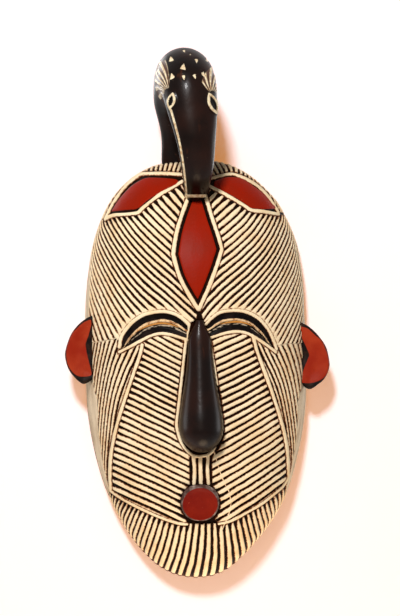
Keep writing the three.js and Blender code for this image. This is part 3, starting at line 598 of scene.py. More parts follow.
def skin():
    """Points of the bare dome in rows, with the plan place of each, side walls laid out flat."""
    points, places = [], []
    unit = MM_PER_UNIT * SIDE_STRETCH
    for z in rows_of_skin():
        n = CROWN_FULLNESS if z > 0 else CHIN_FULLNESS
        half = HALF_WIDTH * (1 - abs(z / HALF_HEIGHT) ** n) ** (1 / n)
        x = half * np.sin(np.linspace(-math.pi / 2, math.pi / 2, 1601))
        depth = dome_depth(x, np.full_like(x, z))
        depth[[0, -1]] = 0
        x = x + hand_lean(x, half, z)
        run = arc_of(as_points(x, depth))
        u = plan(x, depth, z)[0]
        steep = np.abs(np.gradient(depth, x, edge_order=1)) > STEEP
        left, right = np.nonzero(~steep & (x < 0))[0], np.nonzero(~steep & (x > 0))[0]
        if len(left):
            k = left[0]
            u[:k] = u[k] - (run[k] - run[:k]) / unit
        if len(right):
            k = right[-1]
            u[k:] = u[k] + (run[k:] - run[k]) / unit
        wanted = np.linspace(0, run[-1], COLUMNS)
        gx, gd = np.interp(wanted, run, x), np.interp(wanted, run, depth)
        points.append(as_points(gx, gd, np.full(COLUMNS, z)))
        places.append(as_points(np.interp(wanted, run, u), plan(gx, gd, z)[1]))
    return np.array(points), np.array(places)


def mesh_object(name, points, faces, smooth=True):
    mesh = bpy.data.meshes.new(name)
    mesh.from_pydata(np.asarray(points).tolist(), [], [tuple(f) for f in faces])
    mesh.polygons.foreach_set("use_smooth", [smooth] * len(mesh.polygons))
    mesh.update()
    made = bpy.data.objects.new(name, mesh)
    bpy.context.scene.collection.objects.link(made)
    return made


def quads(rows, columns, wrap=False):
    """Faces of a grid of points, row after row."""
    last = columns if wrap else columns - 1
    i, j = np.meshgrid(np.arange(rows - 1), np.arange(last), indexing="ij")
    a, b = i * columns + j, i * columns + (j + 1) % columns
    return np.stack([a, b, b + columns, a + columns], axis=-1).reshape(-1, 4)


def tube(rings):
    """A closed skin over rings of equally many points, with a fan over each end."""
    rings = np.asarray(rings, float)
    rows, count = rings.shape[:2]
    ends = rings[[0, -1]].mean(axis=1)
    points = np.vstack([rings.reshape(-1, 3), ends])
    faces = [tuple(f) for f in quads(rows, count, wrap=True)]
    first, last = rows * count, rows * count + 1
    for j in range(count):
        k = (j + 1) % count
        faces.append((first, k, j))
        faces.append((last, (rows - 1) * count + j, (rows - 1) * count + k))
    return points, faces


def outward(obj):
    """Turns the faces of a closed piece outwards."""
    work = bmesh.new()
    work.from_mesh(obj.data)
    bmesh.ops.recalc_face_normals(work, faces=work.faces)
    if work.calc_volume(signed=True) < 0:
        bmesh.ops.reverse_faces(work, faces=work.faces)
    work.to_mesh(obj.data)
    work.free()


def cut(obj, cutter, how="DIFFERENCE"):
    """Takes a cutter off a piece, or joins or crosses them, then throws the cutter away."""
    outward(cutter)
    step = obj.modifiers.new("cut", "BOOLEAN")
    step.operation, step.solver, step.object = how, "MANIFOLD", cutter
    graph = bpy.context.evaluated_depsgraph_get()
    made = bpy.data.meshes.new_from_object(obj.evaluated_get(graph))
    obj.modifiers.clear()
    old = obj.data
    obj.data = made
    bpy.data.meshes.remove(old)
    bpy.data.objects.remove(cutter)


def block(x0, x1, d0, d1, z0, z1):
    corners = [(x, d, z) for x in (x0, x1) for d in (d0, d1) for z in (z0, z1)]
    return corners, [(0, 1, 3, 2), (4, 6, 7, 5), (0, 4, 5, 1), (2, 3, 7, 6), (0, 2, 6, 4), (1, 5, 7, 3)]


def rod(radius, start, end, sides=24):
    start, end = np.asarray(start, float), np.asarray(end, float)
    axis = (end - start) / np.linalg.norm(end - start)
    side = np.cross(axis, [0.3, 0.2, 1]) / np.linalg.norm(np.cross(axis, [0.3, 0.2, 1]))
    other = np.cross(axis, side)
    turn = np.arange(sides) / sides * 2 * math.pi
    ring = radius * (np.cos(turn)[:, None] * side + np.sin(turn)[:, None] * other)
    return tube([ring + start, ring + end])


def merged(*solids):
    points, faces = [], []
    for p, f in solids:
        base = sum(len(q) for q in points)
        points.append(np.asarray(p, float))
        faces += [tuple(i + base for i in face) for face in f]
    return np.vstack(points), faces


def hollow_cutter(around=160, deep=60):
    """The hollow, its wall rippled by the strokes of a wide gouge."""
    turn = np.arange(around) / around * TURN
    power = 2 / HOLLOW["fullness"]
    c = np.sign(np.cos(turn)) * np.abs(np.cos(turn)) ** power
    s = np.sign(np.sin(turn)) * np.abs(np.sin(turn)) ** power
    rings = []
    for i in range(deep):
        angle = math.pi / 2 * (1 - i / deep)
        share, depth = math.sin(angle) ** power, HOLLOW["depth"] * math.cos(angle)
        x, z = share * HOLLOW["half_width"] * c, HOLLOW["middle"] + share * HOLLOW["half_height"] * s
        ring = as_points(x, np.full(around, depth), z)
        stroke = np.abs(np.sin(turn * 21 + 1.4 * math.sin(i * 0.55)))
        stroke = stroke * np.abs(np.sin(i * 0.9 + 2 * np.sin(turn * 5)))
        inner = ring - [0, 20, HOLLOW["middle"]]
        inner /= np.linalg.norm(inner, axis=1, keepdims=True)
        rings.append(ring - inner * (GOUGE * stroke * min(1, i / 4))[:, None])
    back = rings[0].copy()
    back[:, 1] = BEHIND
    return tube([back, *rings])


def through(values):
    """A smooth curve through evenly spaced values, as a function of 0 to 1."""
    v = np.asarray(values, float)
    padded = np.concatenate([v[:1], v, v[-1:]])

    def at(t):
        place = np.clip(t, 0, 1) * (len(v) - 1)
        k = np.minimum(place.astype(int), len(v) - 2)
        w = place - k
        a, b, c, d = padded[k], padded[k + 1], padded[k + 2], padded[k + 3]
        enter, leave = (c - a) / 2, (d - b) / 2
        cubic, square = 2 * b - 2 * c + enter + leave, 3 * c - 3 * b - 2 * enter - leave
        return cubic * w**3 + square * w**2 + enter * w + b

    return at


# Nose
NOSE_TOP, NOSE_BOTTOM, NOSE_POCKET = 43, -67, 2
NOSE_HALF_WIDTH = [3, 9, 10.4, 11.8, 13.8, 16.2, 18.2, 18.6, 17.5]
NOSE_HEIGHT = [4, 8, 11, 14.5, 18, 22, 26, 28, 27]
NOSE_ROUND, NOSE_END, NOSE_END_POWER = 0.2, 0.93, 2.2
NOSE_SECTION = 0.85
NOSE_LEAN = 0.018
NOSE_BACK = 71


def nose_shape(t):
    """Half width and height of the nose by the share of the way down it."""
    past_round = np.maximum(0, (t - 1 + NOSE_ROUND) / NOSE_ROUND)
    end = np.sqrt(1 - NOSE_END * past_round**NOSE_END_POWER)
    return through(NOSE_HALF_WIDTH)(t) * end, through(NOSE_HEIGHT)(t) * end


def nose_middle(z):
    return NOSE_LEAN * (NOSE_TOP - z)


def on_nose(x, z, grow):
    """Whether a point of the face lies under the nose, drawn out by some millimetres."""
    t = (NOSE_TOP + grow - z) / (NOSE_TOP - NOSE_BOTTOM + 2 * grow)
    half = nose_shape(np.clip(t, 0, 1))[0] + grow
    return (t >= 0) & (t <= 1) & (np.abs(x - nose_middle(z)) <= half)


def skin_solid(points, rows, columns, reach):
    """A solid from the points of a dome in rows, closed over its flat back and by two poles."""
    made = [tuple(f) for f in quads(rows, columns)]
    for i in range(rows - 1):
        a, b = i * columns, (i + 1) * columns - 1
        made.append((b, a, a + columns, b + columns))
    top, bottom, low = rows * columns, rows * columns + 1, (rows - 1) * columns
    for j in range(columns - 1):
        made += [(top, j + 1, j), (bottom, low + j, low + j + 1)]
    made += [(top, 0, columns - 1), (bottom, low + columns - 1, low)]
    return np.vstack([points, [[0, 0, reach], [0, 0, -reach]]]), made


def shaped(name, solid, *cutters):
    """A closed smooth piece from a solid, with cutters taken off it."""
    made = mesh_object(name, metres(solid[0]), solid[1])
    outward(made)
    for one in cutters:
        cut(made, cutter(one))
    return made


def cutter(solid):
    return mesh_object("cutter", metres(solid[0]), solid[1], smooth=False)


bare_rows, plan_rows = skin()
bare, places = bare_rows.reshape(-1, 3), plan_rows.reshape(-1, 2)
carving = carve(places, bare[:, 1])
height = height_of(carving, places, bare[:, 1])
height[on_nose(bare[:, 0], bare[:, 2], CLEARANCE)] = -NOSE_POCKET - 0.1
carved = bare + dome_normal(*bare.T) * height[:, None]
carved_solid = skin_solid(carved, ROWS, COLUMNS, HALF_HEIGHT)
face = shaped("face", carved_solid)


def dome_solid(grow, step=4):
    """The plain dome as a solid, drawn out by some millimetres, for scribing pieces to the face."""
    some = bare_rows[::step, ::step]
    points = some.reshape(-1, 3)
    return skin_solid(points + grow * dome_normal(*points.T), *some.shape[:2], HALF_HEIGHT + grow)


# Places of the seats and holes, as in the solid part, with the mouth a millimetre up
CREST_SEAT = {"x": -9.5, "half_width": 22.8, "depth": 18, "z": 171, "top": 217}
NECK_BORE = {"radius": 3.8, "depth": 10.5, "from": 146.7, "to": 199.3}
HANGER_REBATE = {"half_width": 25, "depth": 4.5, "from": 145, "to": 164}
EAR_CENTRE_Z = {"left": 17.5, "right": 13}
EAR_TONGUE = {"from": 84, "to": 96, "low": 27.5, "high": 33.5, "half_height": 13}
MOUTH_X, MOUTH_Z, MOUTH_BASE, MOUTH_STEM, MOUTH_SEAT = 1, -110, 16.4, 9, 2
SLOPE_REACH = 12


def depth_at(x, z):
    return float(dome_depth(np.float64(x), np.float64(z)))


rise = depth_at(MOUTH_X, MOUTH_Z + SLOPE_REACH) - depth_at(MOUTH_X, MOUTH_Z - SLOPE_REACH)
mouth_slope = math.atan(rise / (2 * SLOPE_REACH))
mouth_out = np.array([0, math.cos(mouth_slope), -math.sin(mouth_slope)])
mouth_up = np.array([0, math.sin(mouth_slope), math.cos(mouth_slope)])
mouth_seat = np.array([MOUTH_X, depth_at(MOUTH_X, MOUTH_Z) - MOUTH_SEAT, MOUTH_Z])


def turned(profile, sides, squareness=0.0):
    """A solid turned about the mouth's axis from (radius, height) pairs, a little square."""
    turn = np.arange(sides) / sides * TURN
    swell = 1 + squareness * np.cos(4 * turn + math.pi)
    rings = []
    for r, h in profile:
        across, up = r * swell * np.cos(turn), r * swell * np.sin(turn)
        rings.append(mouth_seat + h * mouth_out + across[:, None] * [1, 0, 0] + up[:, None] * mouth_up)
    return tube(rings)


def crest_seat(grow):
    c = CREST_SEAT
    half = c["half_width"] + grow
    return block(c["x"] - half, c["x"] + half, BEHIND, c["depth"] + grow, c["z"] - grow, c["top"])


def ear_slot(side, grow):
    s, z, way = EAR_TONGUE, EAR_CENTRE_Z[side], 1 if side == "right" else -1
    xs = sorted([way * (s["from"] - grow), way * (s["to"] + grow)])
    half = s["half_height"] + grow
    return block(*xs, s["low"] - grow, s["high"] + grow, z - half, z + half)


def slit(side, u_from, u_to, count=24):
    """A slit right through the wood along an eye, between its lids."""
    upper, lower = (curve(RAISED[name + side][1], 1) for name in ("arch_", "lid_"))
    us = np.linspace(u_from, u_to, count)
    top = np.interp(us, upper[:, 0], upper[:, 1]) + EYE_TOP
    low = np.interp(us, lower[:, 0], lower[:, 1]) - EYE_LOW
    middle = top + SLIT_SHARE * (low - top)
    half = SLIT_HALF * np.sqrt(np.sin(np.linspace(0.06, math.pi - 0.06, count)))
    rings = []
    for u, v, h in zip(us, middle, half):
        ring = []
        for depth, sign in ((100, -1), (100, 1), (20, 1), (20, -1)):
            x, z = unplan(u, v + sign * h, SLIT_DEPTH)
            ring.append((x, depth, z))
        rings.append(ring)
    return tube(rings)


footing = shaped("footing", carved_solid)
cut(face, cutter(hollow_cutter()))
rebate = block(
    -HANGER_REBATE["half_width"], HANGER_REBATE["half_width"], BEHIND, HANGER_REBATE["depth"],
    HANGER_REBATE["from"], HANGER_REBATE["to"],
)
cut(face, cutter(merged(rebate, crest_seat(0))))
stem, base = MOUTH_STEM + CLEARANCE, MOUTH_BASE + CLEARANCE
cut(face, cutter(turned([(stem, -40), (stem, 0), (base, 0), (base, 30)], sides=64)))
bore_from, bore_to = ((CREST_SEAT["x"], NECK_BORE["depth"], NECK_BORE[end]) for end in ("from", "to"))
openings = [slit(side, *SLITS[side]) for side in SIDES]
openings += [ear_slot(side, CLEARANCE) for side in SIDES]
openings += [rod(NECK_BORE["radius"], bore_from, bore_to)]
cut(face, cutter(merged(*openings)))


def tree_of(points):
    """A search tree over points of the face's frame."""
    made = kdtree.KDTree(len(points))
    for i, q in enumerate(metres(points).tolist()):
        made.insert(q, i)
    made.balance()
    return made


def places_of(mesh):
    where = np.zeros(len(mesh.vertices) * 3)
    mesh.vertices.foreach_get("co", where)
    return where.reshape(-1, 3)


def nearest(tree, mesh):
    """For each vertex, the index of the tree's nearest point and how far off it is, in metres."""
    found = [tree.find(q) for q in places_of(mesh).tolist()]
    return np.array([f[1] for f in found]), np.array([f[2] for f in found])


def set_field(mesh, key, values):
    mesh.attributes.new(key, "FLOAT", "POINT").data.foreach_set("value", np.asarray(values, np.float32))


def numbers_of(items, key):
    """A whole number of every item of a mesh."""
    found = np.zeros(len(items), np.int32)
    items.foreach_get(key, found)
    return found


# In metres: further off the carved skin than this a face was cut, and nearer to the wall plane
# than this it lies in the flat back
OFF_SKIN, BACK_PLANE = 0.0015, 0.00005


def keep_fields(mesh):
    """Puts the carving's fields back on the cut skin; gives back 1 for each face cut bare."""
    index, far = nearest(skin_tree, mesh)
    for key, values in carving.items():
        set_field(mesh, key, values[index])
    loops = numbers_of(mesh.loops, "vertex_index")
    starts = numbers_of(mesh.polygons, "loop_start")
    worst = np.maximum.reduceat(far[loops], starts)
    deepest = np.maximum.reduceat(-places_of(mesh)[loops, 1], starts)
    slots = ((worst > OFF_SKIN) | (deepest < BACK_PLANE)).astype(np.int32)
    mesh.polygons.foreach_set("use_smooth", np.ones(len(mesh.polygons), bool))
    edges = numbers_of(mesh.loops, "edge_index")
    of_loop = np.repeat(slots, np.diff(np.append(starts, len(loops))))
    low, high = np.full(len(mesh.edges), 9), np.full(len(mesh.edges), -1)
    np.minimum.at(low, edges, of_loop)
    np.maximum.at(high, edges, of_loop)
    mesh.attributes.new("sharp_edge", "BOOLEAN", "EDGE").data.foreach_set("value", low != high)
    mesh.update()
    return slots


skin_tree = tree_of(carved)
cut_bare = keep_fields(face.data)


def face_frame(mesh):
    """The mesh's points in the face's frame, in millimetres: x, depth and z."""
    q = places_of(mesh) * 1000
    return as_points(q[:, 0], -q[:, 1], q[:, 2] + HANGER_Z)


def nose_solid(rows=150, across=70):
    rings = []
    for t in np.linspace(0, 1, rows):
        z = NOSE_TOP + (NOSE_BOTTOM - NOSE_TOP) * t
        half, height = nose_shape(np.array([t]))
        turn = np.linspace(0, math.pi, across)
        lift = height[0] * np.sin(turn) ** NOSE_SECTION
        middle = nose_middle(z)
        x = middle - half[0] * np.cos(turn)
        ring = as_points(x, depth_at(0, z) + lift, np.full(across, z))
        back = [[middle + half[0], NOSE_BACK, z], [middle - half[0], NOSE_BACK, z]]
        rings.append(np.vstack([ring, back]))
    return tube(rings)


nose = shaped("long_nose", nose_solid(), dome_solid(CLEARANCE - NOSE_POCKET, 3))

# Mouth: a turned plug, a little square, with a worn dished face, as (radius, height)
MOUTH_PROFILE = [
    (MOUTH_STEM, -12), (MOUTH_STEM, CLEARANCE), (MOUTH_BASE, CLEARANCE), (MOUTH_BASE, MOUTH_SEAT),
    (16.1, 3), (15.9, 3.8), (15.6, 4.4), (15.2, 4.8), (14.6, 5), (13.9, 4.95), (12.9, 4.6),
    (10.5, 4.2), (6, 4), (2, 3.9),
]
mouth = shaped("mouth", turned(MOUTH_PROFILE, sides=128, squareness=0.02))
from_seat = face_frame(mouth.data) - mouth_seat
flat_on_seat = np.eye(3) - np.outer(mouth_out, mouth_out)
set_field(mouth.data, "rim", np.linalg.norm(from_seat @ flat_on_seat, axis=1))

# Ears: half-moons with a scooped red face and a black hollow beside the cheek
EAR_EDGE = {
    "left": [
        (96, 315), (90.7, 316), (80, 323), (71.3, 333.7), (66, 347.7), (65, 357), (68, 368.3),
        (74, 377), (83, 384), (92, 380), (97, 376),
    ],
    "right": [
        (293, 319), (298.9, 321.1), (309.4, 326.8), (319, 336), (326.3, 347), (329.5, 359.9),
        (329.5, 368), (325.5, 377.6), (319, 384), (309.4, 389.3), (299.7, 382.5), (294, 379),
    ],
}
EAR_RED = {
    "left": [
        (91.3, 319.3), (84.7, 321.7), (78, 327), (72, 333.7), (68.3, 342.3), (66.3, 350.3),
        (66.3, 358.3), (68, 365), (72, 371.7), (78, 376), (84.7, 376.7), (91.3, 375), (90.7, 369),
        (89.3, 363), (87.3, 355), (85.9, 346.3), (86, 342.3), (88.7, 335), (91.3, 325),
    ],
    "right": [
        (300.9, 326.4), (307.7, 328.4), (315, 334.9), (321.5, 340.5), (325.5, 348.6), (328.3, 356.7),
        (329.1, 366.3), (326.7, 374.4), (321.5, 379.3), (314.2, 382.5), (306.9, 383.3),
        (300.5, 382.1), (300.9, 377.6), (305.3, 364.7), (308.7, 356.7), (308.5, 352.6),
        (304.5, 343.7), (300.5, 334.9),
    ],
}
EAR_FRONT, EAR_ROOT, EAR_BACK = 37, 96.0, 29.5
EAR_DISH, EAR_HOLLOW, EAR_ROLL = 1.9, 1.1, 1.6
EAR_BACK_RINGS = [
    (35, 1.0), (33, 1.004), (31, 1.0), (28.5, 0.985), (26.8, 0.95), (26, 0.9), (26, 0.5), (26, 0.05),
]


def ear_solid(side):
    """Rings from the middle of the front, out over the rim, to the middle of the back."""
    edge = curve(EAR_EDGE[side] + EAR_EDGE[side][:1], 1.2)[:-1]
    rim = as_points(*unplan(*edge.T, EAR_FRONT))
    middle = np.array([np.sign(rim[0, 0]) * EAR_ROOT, rim[:, 1].mean()])
    rings = []
    for r in np.linspace(0.02, 1, 34):
        flat = middle + min(r, 0.985) * (rim - middle)
        q = as_points(*plan(flat[:, 0], EAR_FRONT, flat[:, 1]))
        from_rim = distance(q, np.vstack([edge, edge[:1]])) * MM_PER_UNIT
        hollow = smoothstep(-1.5, 4.5, -signed(q, ear_red[side])) * smoothstep(3.5, 7, from_rim)
        dish = EAR_DISH * smoothstep(0.5, 12, from_rim) + EAR_HOLLOW * hollow
        roll = EAR_ROLL * (1 - smoothstep(0, 1.7, from_rim))
        rings.append(as_points(flat[:, 0], EAR_FRONT - dish - roll, flat[:, 1]))
    for depth, r in EAR_BACK_RINGS:
        flat = middle + r * (rim - middle)
        rings.append(as_points(flat[:, 0], np.full(len(flat), depth), flat[:, 1]))
    return tube(rings)


ears = []
ear_red = {side: curve(line, 1.5) for side, line in EAR_RED.items()}
for side in SIDES:
    ear = shaped(f"ear_{side}_carved", ear_solid(side), dome_solid(SCRIBE))
    cut(ear, cutter(ear_slot(side, 0)), "UNION")
    q = face_frame(ear.data)
    red = signed(as_points(*plan(*q.T)), ear_red[side])
    set_field(ear.data, "red", np.where(q[:, 1] > EAR_BACK, red, OUTSIDE))
    ears.append(ear)


# Bird: a swept hook of wood, its bill scribed to the forehead and its foot in the crown
BIRD_SPINE = [
    (9, 166), (9, 184), (17, 207), (33, 233), (57, 248), (79, 240), (91, 216), (93, 191), (82, 167),
    (52, 145.5),
]
BIRD_HALF_WIDTH = [20.3, 20.3, 19.3, 24.5, 24.7, 23.8, 20.6, 16.2, 12.9, 9.2]
BIRD_HALF_DEPTH = [7.5, 7.8, 12, 18, 26, 22, 14.5, 11.5, 8.8, 5.5]
BIRD_LEAN, BIRD_TURN = math.radians(-6), math.radians(5.7)
BILL_TIP = (-2.2, 56, 150)
GAPE_FROM = 0.655  # share of the spine from which the bill is split
GAPE_TURN, GAPE_NARROW = 0.42, 0.55
TIP_V, TIP_HALF = 196, 1.5  # the pale line across the bill's end, in the plan


def spine_at(t):
    """The bird's middle line, by a share of its points: (depth, z)."""
    knots = np.asarray(BIRD_SPINE, float)
    place = t * (len(knots) - 1)
    k = min(int(place), len(knots) - 2)
    w = place - k
    b, c = knots[k], knots[k + 1]
    a = knots[k - 1] if k else 2 * b - c
    d = knots[k + 2] if k + 2 < len(knots) else 2 * c - b
    ab, bc, cd = (np.linalg.norm(g) ** 0.5 for g in (b - a, c - b, d - c))
    enter = ((b - a) / ab - (c - a) / (ab + bc) + (c - b) / bc) * bc
    leave = ((c - b) / bc - (d - b) / (bc + cd) + (d - c) / cd) * bc
    square, cubic = 3 * c - 3 * b - 2 * enter - leave, 2 * b - 2 * c + enter + leave
    return b + enter * w + square * w**2 + cubic * w**3


def posed(q):
    """A bird point moved to where the lean and the turn put it."""
    x, depth, z = (np.asarray(q, float) - (0, BILL_TIP[1], BILL_TIP[2])).T
    c, s = math.cos(BIRD_TURN), math.sin(BIRD_TURN)
    x, depth = x * c + depth * s, depth * c - x * s
    c, s = math.cos(BIRD_LEAN), math.sin(BIRD_LEAN)
    x, z = x * c + z * s, z * c - x * s
    return np.stack([x, depth, z], axis=-1) + BILL_TIP


def bird_solid(rows=210, sides=120):
    """Rings of the swept body, and the share of the spine and the turn of each of their points."""
    turn = np.arange(sides) / sides * TURN
    rings, marks = [], []
    for t in np.linspace(0, 1, rows):
        middle = spine_at(t)
        onward = spine_at(min(1, t + 1e-4)) - spine_at(max(0, t - 1e-4))
        onward /= np.linalg.norm(onward)
        half, thick = (through(size)(np.array([t]))[0] for size in (BIRD_HALF_WIDTH, BIRD_HALF_DEPTH))
        up = thick * np.sin(turn)
        depth, z = middle[0] + up * onward[1], middle[1] - up * onward[0]
        rings.append(as_points(half * np.cos(turn), depth, z))
        marks.append(as_points(np.full(sides, t), turn))
    return np.array(rings), np.array(marks)


# Eyes of the bird in the plan: middle, length, width, lean, and how far the dark middle is shifted
BIRD_EYES = {
    "left": ((171.8, 100.8), 17.5, 8, 0.2, -0.6),
    "right": ((212.2, 103.6), 23.5, 9.5, -0.36, 0.8),
}
PUPIL_LENGTH, PUPIL_WIDTH = 0.68, 0.52
BROW_DEPTH, CHEEK_DEPTH = 82, 60  # depths before which the eyes and the front feathers stop
CROWN_SHARE = 0.34, 0.62  # part of the spine that is the crown of the head
EYE_STANDS, PUPIL_SUNK, CHIP_SUNK, GAPE_SUNK, FEATHER_RELIEF = 1.1, 1.7, 0.5, 0.7, 0.35

# Carved feathers: behind the eyes on either side, and beside each eye as seen from the front, as
# place, angles, period of the feathers and how fast the upper edge closes in
FAN_DEPTH, FAN_Z, FAN_TOP, FAN_PERIOD = 96, 231, 1.27, 0.172
FRONT_FANS = {
    -1: ((168.5, 92.5), (-0.35, 1.75), 0.22, 0),
    1: ((212.5, 95.0), (0.2, 2.44), 0.26, 0.049),
}
FAN_SPREAD, FRONT_SPREAD = (0.006, (5, 44)), (0.008, (4, 33))  # twist, and nearest and furthest
FAN_CLOSES = 16

# Three-cornered chips on the crown of the head, as (u, v, turn, size)
CHIPS = [
    (184, 51, 0.2, 4.0), (190.5, 54, 1.0, 2.2), (171, 59.5, 1.2, 6.5), (196.5, 60.5, 0.1, 5.0),
    (183, 67.5, 0.9, 7.5), (207, 60, 0.7, 4.0), (172, 77, 1.4, 7.0), (183.5, 77, 0.1, 5.5),
    (194.5, 76, 0.3, 5.5), (203, 74, 0.5, 5.5),
]
CHIP_CORNERS, CHIP_WIDE, CHIP_HIGH, CHIP_NEAR = np.array([0.5, 2.5, 4.9]), 0.42, 0.62, 9
AWAY = 20  # a field's value, either way, well away from what it draws on the bird


def almond(places, middle, length, width, lean):
    """Distance inside an almond laid out in the plan."""
    across, down = (places - middle).T
    long = down * math.cos(lean) - across * math.sin(lean)
    short = across * math.cos(lean) + down * math.sin(lean)
    return width / 2 * (1 - (2 * long / length) ** 2) - np.abs(short)


def feathers(across, up, twist, reaches, angles, close=0):
    """The turn about the middle of a fan of feathers, and the distance inside its patch."""
    (near, far), (low, high) = reaches, angles
    reach = np.hypot(across, up)
    angle = np.arctan2(up, across) + twist * reach
    high = np.minimum(high, high - close * (reach - FAN_CLOSES))
    beside = np.minimum((angle - low) * reach, (high - angle) * reach)
    return angle, np.minimum(np.minimum(reach - near, far - reach), beside)


def side_fan(q, way):
    """The feathers behind an eye: phase in cycles, and the distance inside their patch."""
    back, up = FAN_DEPTH - q[:, 1], q[:, 2] - FAN_Z
    angle, within = feathers(back, up, *FAN_SPREAD, (0, FAN_TOP))
    return angle / FAN_PERIOD, np.where(q[:, 0] * way > 6, within, -AWAY)


def front_fan(places, way):
    """The feathers beside an eye as they show from the front."""
    (u, v), angles, period, close = FRONT_FANS[way]
    across, up = way * (places[:, 0] - u), v - places[:, 1]
    angle, within = feathers(across, up, *FRONT_SPREAD, angles, close)
    return angle / period, within


def chip_field(places):
    """Distance inside the small three-cornered chips on the crown of the head."""
    best = np.full(len(places), float(OUTSIDE))
    for u, v, turn, size in CHIPS:
        a = turn + CHIP_CORNERS
        corners = as_points(u + size * CHIP_WIDE * np.cos(a), v - size * CHIP_HIGH * np.sin(a))
        near = np.hypot(places[:, 0] - u, places[:, 1] - v) < CHIP_NEAR
        best[near] = np.maximum(best[near], signed(places[near], corners) + 0.15)
    return best


def gape_field(t, turn):
    """Distance from the line between the halves of the bill, in millimetres along the skin."""
    half = through(BIRD_HALF_WIDTH)(t)
    left = np.abs(turn - math.pi - GAPE_TURN) * half * GAPE_NARROW
    right = np.abs((turn + math.pi) % TURN - math.pi) * half
    return np.where(t > GAPE_FROM, np.minimum(left, right), AWAY)


rings, marks = bird_solid()
own = rings.reshape(-1, 3)
share, turn = marks.reshape(-1, 2).T
seen = as_points(*plan(*posed(own).T))

# Which way each place of the bird faces
around, onward = np.roll(rings, -1, axis=1) - np.roll(rings, 1, axis=1), np.gradient(rings, axis=0)
outer = np.cross(around.reshape(-1, 3), onward.reshape(-1, 3))
outer /= np.linalg.norm(outer, axis=1, keepdims=True)
centres = np.repeat(rings.mean(axis=1), rings.shape[1], axis=0)
outer *= np.sign(np.sum(outer * (own - centres), axis=1))[:, None]

# What is drawn on it
eye, pupil = np.full(len(own), -AWAY, float), np.full(len(own), -AWAY, float)
for middle, length, width, lean, shift in BIRD_EYES.values():
    whole = almond(seen, middle, length, width, lean)
    middle = middle[0] + shift, middle[1]
    dark = almond(seen, middle, PUPIL_LENGTH * length, PUPIL_WIDTH * width, lean)
    eye = np.maximum(eye, np.where(own[:, 1] > BROW_DEPTH, whole, -AWAY))
    pupil = np.maximum(pupil, np.where(own[:, 1] > BROW_DEPTH, dark, -AWAY))
(phase_left, fan_left), (phase_right, fan_right) = side_fan(own, -1), side_fan(own, 1)
fan = np.maximum(fan_left, fan_right)
fan_phase = np.where(fan_left > fan_right, phase_left, phase_right)
for way in FRONT_FANS:
    front_phase, front_in = front_fan(seen, way)
    mine = (outer[:, 1] > 0.1) & (own[:, 0] * way > 0) & (own[:, 1] > CHEEK_DEPTH)
    fan_phase = np.where(mine, front_phase, fan_phase)
    fan = np.where(mine, front_in, fan)
crown_front = (share > CROWN_SHARE[0]) & (share < CROWN_SHARE[1]) & (np.sin(turn) < 0.1)
bird_fields = {
    "eye": eye,
    "pupil": pupil,
    "fan": fan,
    "fan_phase": fan_phase,
    "chip": np.where(crown_front, chip_field(seen), OUTSIDE),
    "gape": gape_field(share, turn),
    "tip": TIP_HALF - np.abs(seen[:, 1] - TIP_V),
}
stand = EYE_STANDS * smoothstep(-1.6, 0.2, eye) - PUPIL_SUNK * smoothstep(-0.3, 0.7, pupil)
stand -= CHIP_SUNK * smoothstep(-0.6, 0.6, bird_fields["chip"])
gape_cut = 1 - smoothstep(0.3, 1.3, bird_fields["gape"])
stand -= GAPE_SUNK * gape_cut * smoothstep(GAPE_FROM, 0.68, share)
stand += FEATHER_RELIEF * smoothstep(0, 3, fan) * (np.cos(TURN * fan_phase) - 0.5)
bird_points = posed(own + outer * stand[:, None])
bird = shaped("bird", tube(bird_points.reshape(rings.shape)))
scribe = cutter(dome_solid(SCRIBE, 3))
cut(scribe, cutter(crest_seat(-CLEARANCE)))
cut(bird, scribe)
cut(footing, cutter(crest_seat(-CLEARANCE)), "INTERSECT")
cut(bird, footing, "UNION")
behind_wall = block(-100, 100, -80, CLEARANCE, 160, 400)
cut(bird, cutter(behind_wall))

index, _ = nearest(tree_of(bird_points), bird.data)
for key, values in bird_fields.items():
    set_field(bird.data, key, values[index])
index, off_face = nearest(skin_tree, bird.data)
for key, values in carving.items():
    set_field(bird.data, "face_" + key, values[index])
set_field(bird.data, "off_face", off_face * 1000)


# Materials
class Nodes:
    """A tree of shader nodes, built up in few words."""

    def __init__(self, tree):
        self.tree = tree

    def put(self, socket, value):
        if isinstance(value, bpy.types.NodeSocket):
            self.tree.links.new(value, socket)
        else:
            socket.default_value = value

    def node(self, kind, inputs=None, **settings):
        made = self.tree.nodes.new("ShaderNode" + kind)
        for key, value in settings.items():
            setattr(made, key, value)
        for key, value in (inputs or {}).items():
            self.put(made.inputs[key], value)
        return made

    def math(self, operation, *values):
        return self.node("Math", dict(enumerate(values)), operation=operation).outputs[0]

    def plus(self, a, b):
        return self.math("ADD", a, b)

    def times(self, a, b):
        return self.math("MULTIPLY", a, b)


